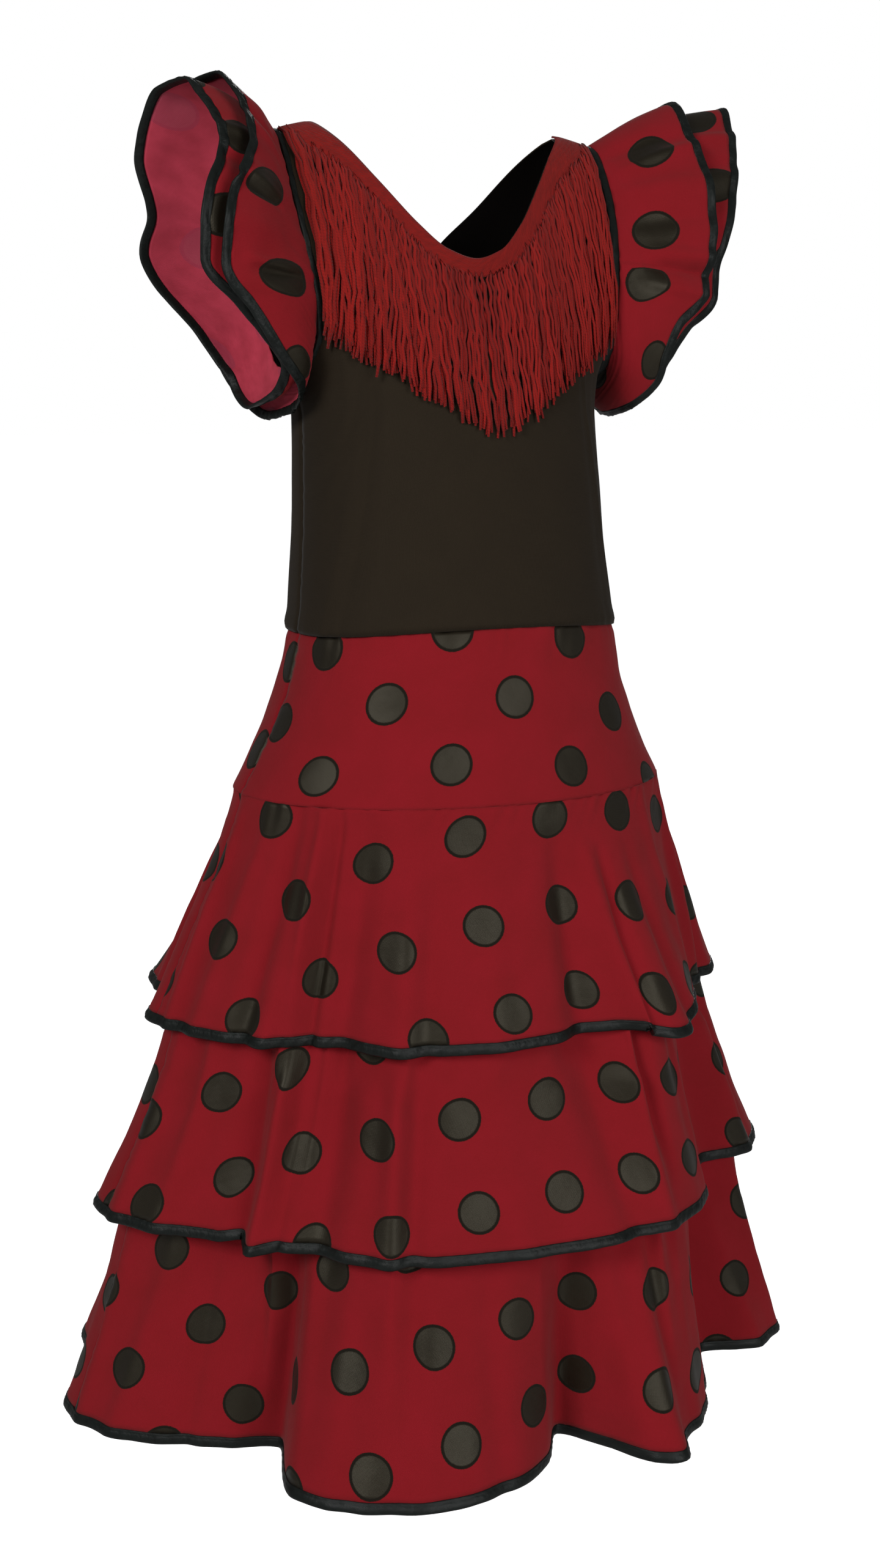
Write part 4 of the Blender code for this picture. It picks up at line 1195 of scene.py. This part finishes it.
def heading_edge(x, share=1.0):
    """Distance and drop of a line along the heading, at a share of its width."""
    step = 0.0005
    near = min(abs(x), NECK_HALF_WIDTH - step)
    slope = (neck_drop[FRONT](near + step) - neck_drop[FRONT](max(near - step, 0.0))) / (
        step + min(near, step))
    square = Vector((-slope, 1.0)).normalized()
    along_seam = Vector((1.0, SHOULDER_FALL)).normalized()
    high = max(near / NECK_HALF_WIDTH - 0.55, 0.0) / 0.45
    turning = max(near / NECK_HALF_WIDTH - 0.75, 0.0) / 0.25
    width = HEADING_WIDTH + (SHOULDER_WIDTH - HEADING_WIDTH) * high * high
    away = square.lerp(along_seam, turning * turning).normalized() * width * share
    return math.copysign(abs(x) + away.x, x), neck_drop[FRONT](abs(x)) + away.y


def strand_line(root, share, height, longer, sway, phase):
    """Distance and drop at a share of a strand, which wanders a little from its fall."""
    root_x, root_drop = heading_edge(root, height)
    tip_x = root + STRAND_SPREAD * math.tanh(root / 0.05)
    tip_drop = fringe_drop(abs(tip_x)) + longer
    wander = sway * share * math.sin(phase + 7.0 * share)
    wander += STRAND_CURL * math.sin(phase + 31.0 * share)
    drift = 2.0 + 1.7 * math.sin(BUNCH_DRIFT * root)
    wander += BUNCHING * math.sin(BUNCH_RATE * root + drift) * share * share
    x = root_x + (tip_x - root_x) * share + wander
    drop = root_drop + (tip_drop - root_drop) * max(share, 0.0) ** 1.3
    room = armhole_reach(min(max(drop, STRAP_DROP), UNDERARM)) - 0.0015
    x = math.copysign(min(abs(x), room), x)
    return x, max(drop, shoulder_fall(x) + 0.0002)


# %% The heading
HEADING_GRID = (240, 8)
HEADING_LIFT = 0.0016    # height of the heading's face above the jersey's
HEADING_ROUND = 0.0006   # and how much its middle stands out
stations = neck_stations(HEADING_GRID[0])


def heading_place(turn, rise):
    x = stations[round(turn * HEADING_GRID[0])]
    if rise > 0.999:
        return on_bodice(x, neck_drop[FRONT](abs(x)), HEADING_LIFT)
    lift = HEADING_LIFT + HEADING_ROUND * (1.0 - (2.0 * rise - 1.0) ** 4)
    return on_bodice(*heading_edge(x, 1.0 - rise), lift)


points = grid_of(heading_place, *HEADING_GRID)
flat = np.stack([lengths_along(points, 1), lengths_along(points, 0)], axis=2)
heading = cloth("fringe_heading", points, flat, thickness=0.0012)
dress(heading, "fringe", (heading_yarn, heading_yarn), "neck_fringe")

# %% The strands
STRAND_LAYERS = (        # strands, lift of the layer in millimetres, half width in millimetres
    (104, 1.0, 1.40), (106, 1.8, 1.32), (98, 2.6, 1.22),
)
STRAND_SIDES, STRAND_STEPS = 5, 14
STRAND_CELL = (0.0012, 0.0120)  # yarn that a face of a strand takes, round and along it
luck = random.Random(11)


def roll_strand(fringe, root, lift, half_width, layers):
    """A closed tube along one strand's line, rolled from a small grid."""
    uv, shade = layers
    longer, sway = luck.gauss(-0.0030, 0.0036), luck.uniform(0.0008, 0.0034)
    height = luck.uniform(0.72, 0.96)
    phase, tone = luck.uniform(0.0, math.tau), luck.uniform(0.35, 1.0)
    rings = []
    for k in range(STRAND_STEPS + 1):
        share = k / STRAND_STEPS
        line = [strand_line(root, share + d, height, longer, sway, phase) for d in (-0.02, 0.0)]
        rise = lift * (1.0 + 1.2 * share * min(abs(root) / 0.05, 1.0))
        before, place = (on_bodice(*spot, rise) for spot in line)
        normal = body_normal(*line[1])
        across = normal.cross((place - before).normalized()).normalized()
        half = half_width * min(1.0, 0.6 + 4.0 * share, 1.0 - 5.0 * (share - 0.94))
        rings.append((place, across * half, normal * half * 0.6))
    spots = new_grid(fringe, STRAND_SIDES, STRAND_STEPS + 2)
    for face in {face for vert in spots for face in vert.link_faces}:
        for corner in face.loops:
            corner[uv].uv = [cell * spot for cell, spot in zip(STRAND_CELL, spots[corner.vert])]
    for vert, (i, j) in spots.items():
        place, across, normal = rings[min(max(j - 1, 0), STRAND_STEPS)]
        angle = math.tau * i / STRAND_SIDES
        size = 0.0 if j in (0, STRAND_STEPS + 2) else 1.0
        vert.co = place + size * (across * math.cos(angle) + normal * math.sin(angle))
        vert[shade] = tone
    bmesh.ops.remove_doubles(fringe, verts=list(spots), dist=1e-7)


fringe = bmesh.new()
layers = fringe.loops.layers.uv.new("flat"), fringe.verts.layers.float.new("shade")
for count, lift, half in STRAND_LAYERS:
    roots = neck_stations(4 * count)
    for k in range(count):
        root = roots[min(max(4 * k + 2 + luck.choice((-1, 0, 1)), 1), 4 * count - 1)]
        roll_strand(fringe, root, 0.001 * lift, 0.001 * half * luck.uniform(0.8, 1.1), layers)
bmesh.ops.recalc_face_normals(fringe, faces=fringe.faces[:])
strands = dress(finished(fringe, "fringe_strands"), "fringe", (yarn,), "neck_fringe")
print("strands:", sum(row[0] for row in STRAND_LAYERS), "faces:", len(strands.data.polygons))

# %% Flat sizes
for piece, cut, trims in sheets:
    width, length = cut.size()
    area = min(cut.area, 0.99 * width * length)
    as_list(trims)
    print(piece.name, "cut", round(width, 3), "x", round(length, 3), "m, area", round(area, 4))

# %% [markdown]
# ## Floor, light and camera
# The dress hangs in front of a pale floor under a large even light, as in a studio. A white
# world lights it a little from all round, a key lamp from the wearer's right and a wide
# one in front give the folds their shape, and one behind lights the far side. The camera
# stands to the right front of the wearer and looks slightly down at the dress.

# %% Floor and light
FLOOR_HEIGHT = -1.05
FLOOR_SIZE = 60.0
FLOOR_GLOW = 0.95        # light that the camera alone sees, so the floor stays white
WORLD_LIGHT = 0.17       # strength of the world's light on the dress
LAMP_AIM = Vector((0.0, 0.0, -0.4))

base = bmesh.new()
bmesh.ops.create_grid(base, x_segments=1, y_segments=1, size=FLOOR_SIZE)
for vert in base.verts:
    vert.co.z = FLOOR_HEIGHT
floor = finished(base, "floor")
pale = Finish("pale_floor", 0.9, Base_Color=(0.60, 0.60, 0.60, 1.0), Specular_IOR_Level=0.1,
              Emission_Color=(1.0, 1.0, 1.0, 1.0))
seen = pale.node("LightPath").outputs["Is Camera Ray"]
pale.join(pale.scaled(seen, 0.0, FLOOR_GLOW), "Emission Strength")
floor.data.materials.append(pale.material)

scene = bpy.context.scene
scene.view_settings.view_transform = "Standard"
world = bpy.data.worlds.new("studio")
world.use_nodes = True
sky = Nodes(world.node_tree, "Background")
sky.shader.inputs["Color"].default_value = (1.0, 1.0, 1.0, 1.0)
seen = sky.node("LightPath").outputs["Is Camera Ray"]
sky.join(sky.scaled(seen, WORLD_LIGHT, 1.0), "Strength")
scene.world = world


def lamp(name, place, size, watts):
    light = bpy.data.lights.new(name, "AREA")
    light.shape = "RECTANGLE"
    light.size, light.size_y = size
    light.energy = watts
    made = bpy.data.objects.new(name, light)
    scene.collection.objects.link(made)
    made.location = place
    made.rotation_euler = (LAMP_AIM - Vector(place)).to_track_quat("-Z", "Y").to_euler()


lamp("key", (-2.2, -1.4, 0.9), (1.0, 1.0), 52.0)
lamp("fill", (0.5, -2.5, 0.1), (1.2, 1.4), 36.0)
lamp("behind", (1.4, 2.6, 0.5), (1.6, 1.6), 34.0)

# %% Camera
CAMERA_TURN = -25.0      # degrees from the front toward the wearer's right
CAMERA_PITCH = 10.39     # degrees that it looks down
CAMERA_DISTANCE = 1.40   # level distance from the dress
CAMERA_SIDE = -0.0013
CAMERA_AIM = Vector((0.0, -0.014, -0.177))
CAMERA_LENS = 47.42      # millimetres, on a sensor 36 mm wide

turn, pitch = math.radians(CAMERA_TURN), math.radians(CAMERA_PITCH)
right = Vector((math.cos(turn), math.sin(turn), 0.0))
level = Vector((-math.sin(turn), math.cos(turn), 0.0))
forward = level * math.cos(pitch) - Vector((0.0, 0.0, math.sin(pitch)))
camera_data = bpy.data.cameras.new("camera")
camera_data.lens = CAMERA_LENS
camera_data.sensor_width = 36.0
camera_data.sensor_fit = "AUTO"
camera = bpy.data.objects.new("camera", camera_data)
scene.collection.objects.link(camera)
camera.location = -CAMERA_DISTANCE * level + CAMERA_AIM + CAMERA_SIDE * right
camera.rotation_euler = forward.to_track_quat("-Z", "Y").to_euler()
scene.camera = camera
print("camera at", [round(value, 3) for value in camera.location])
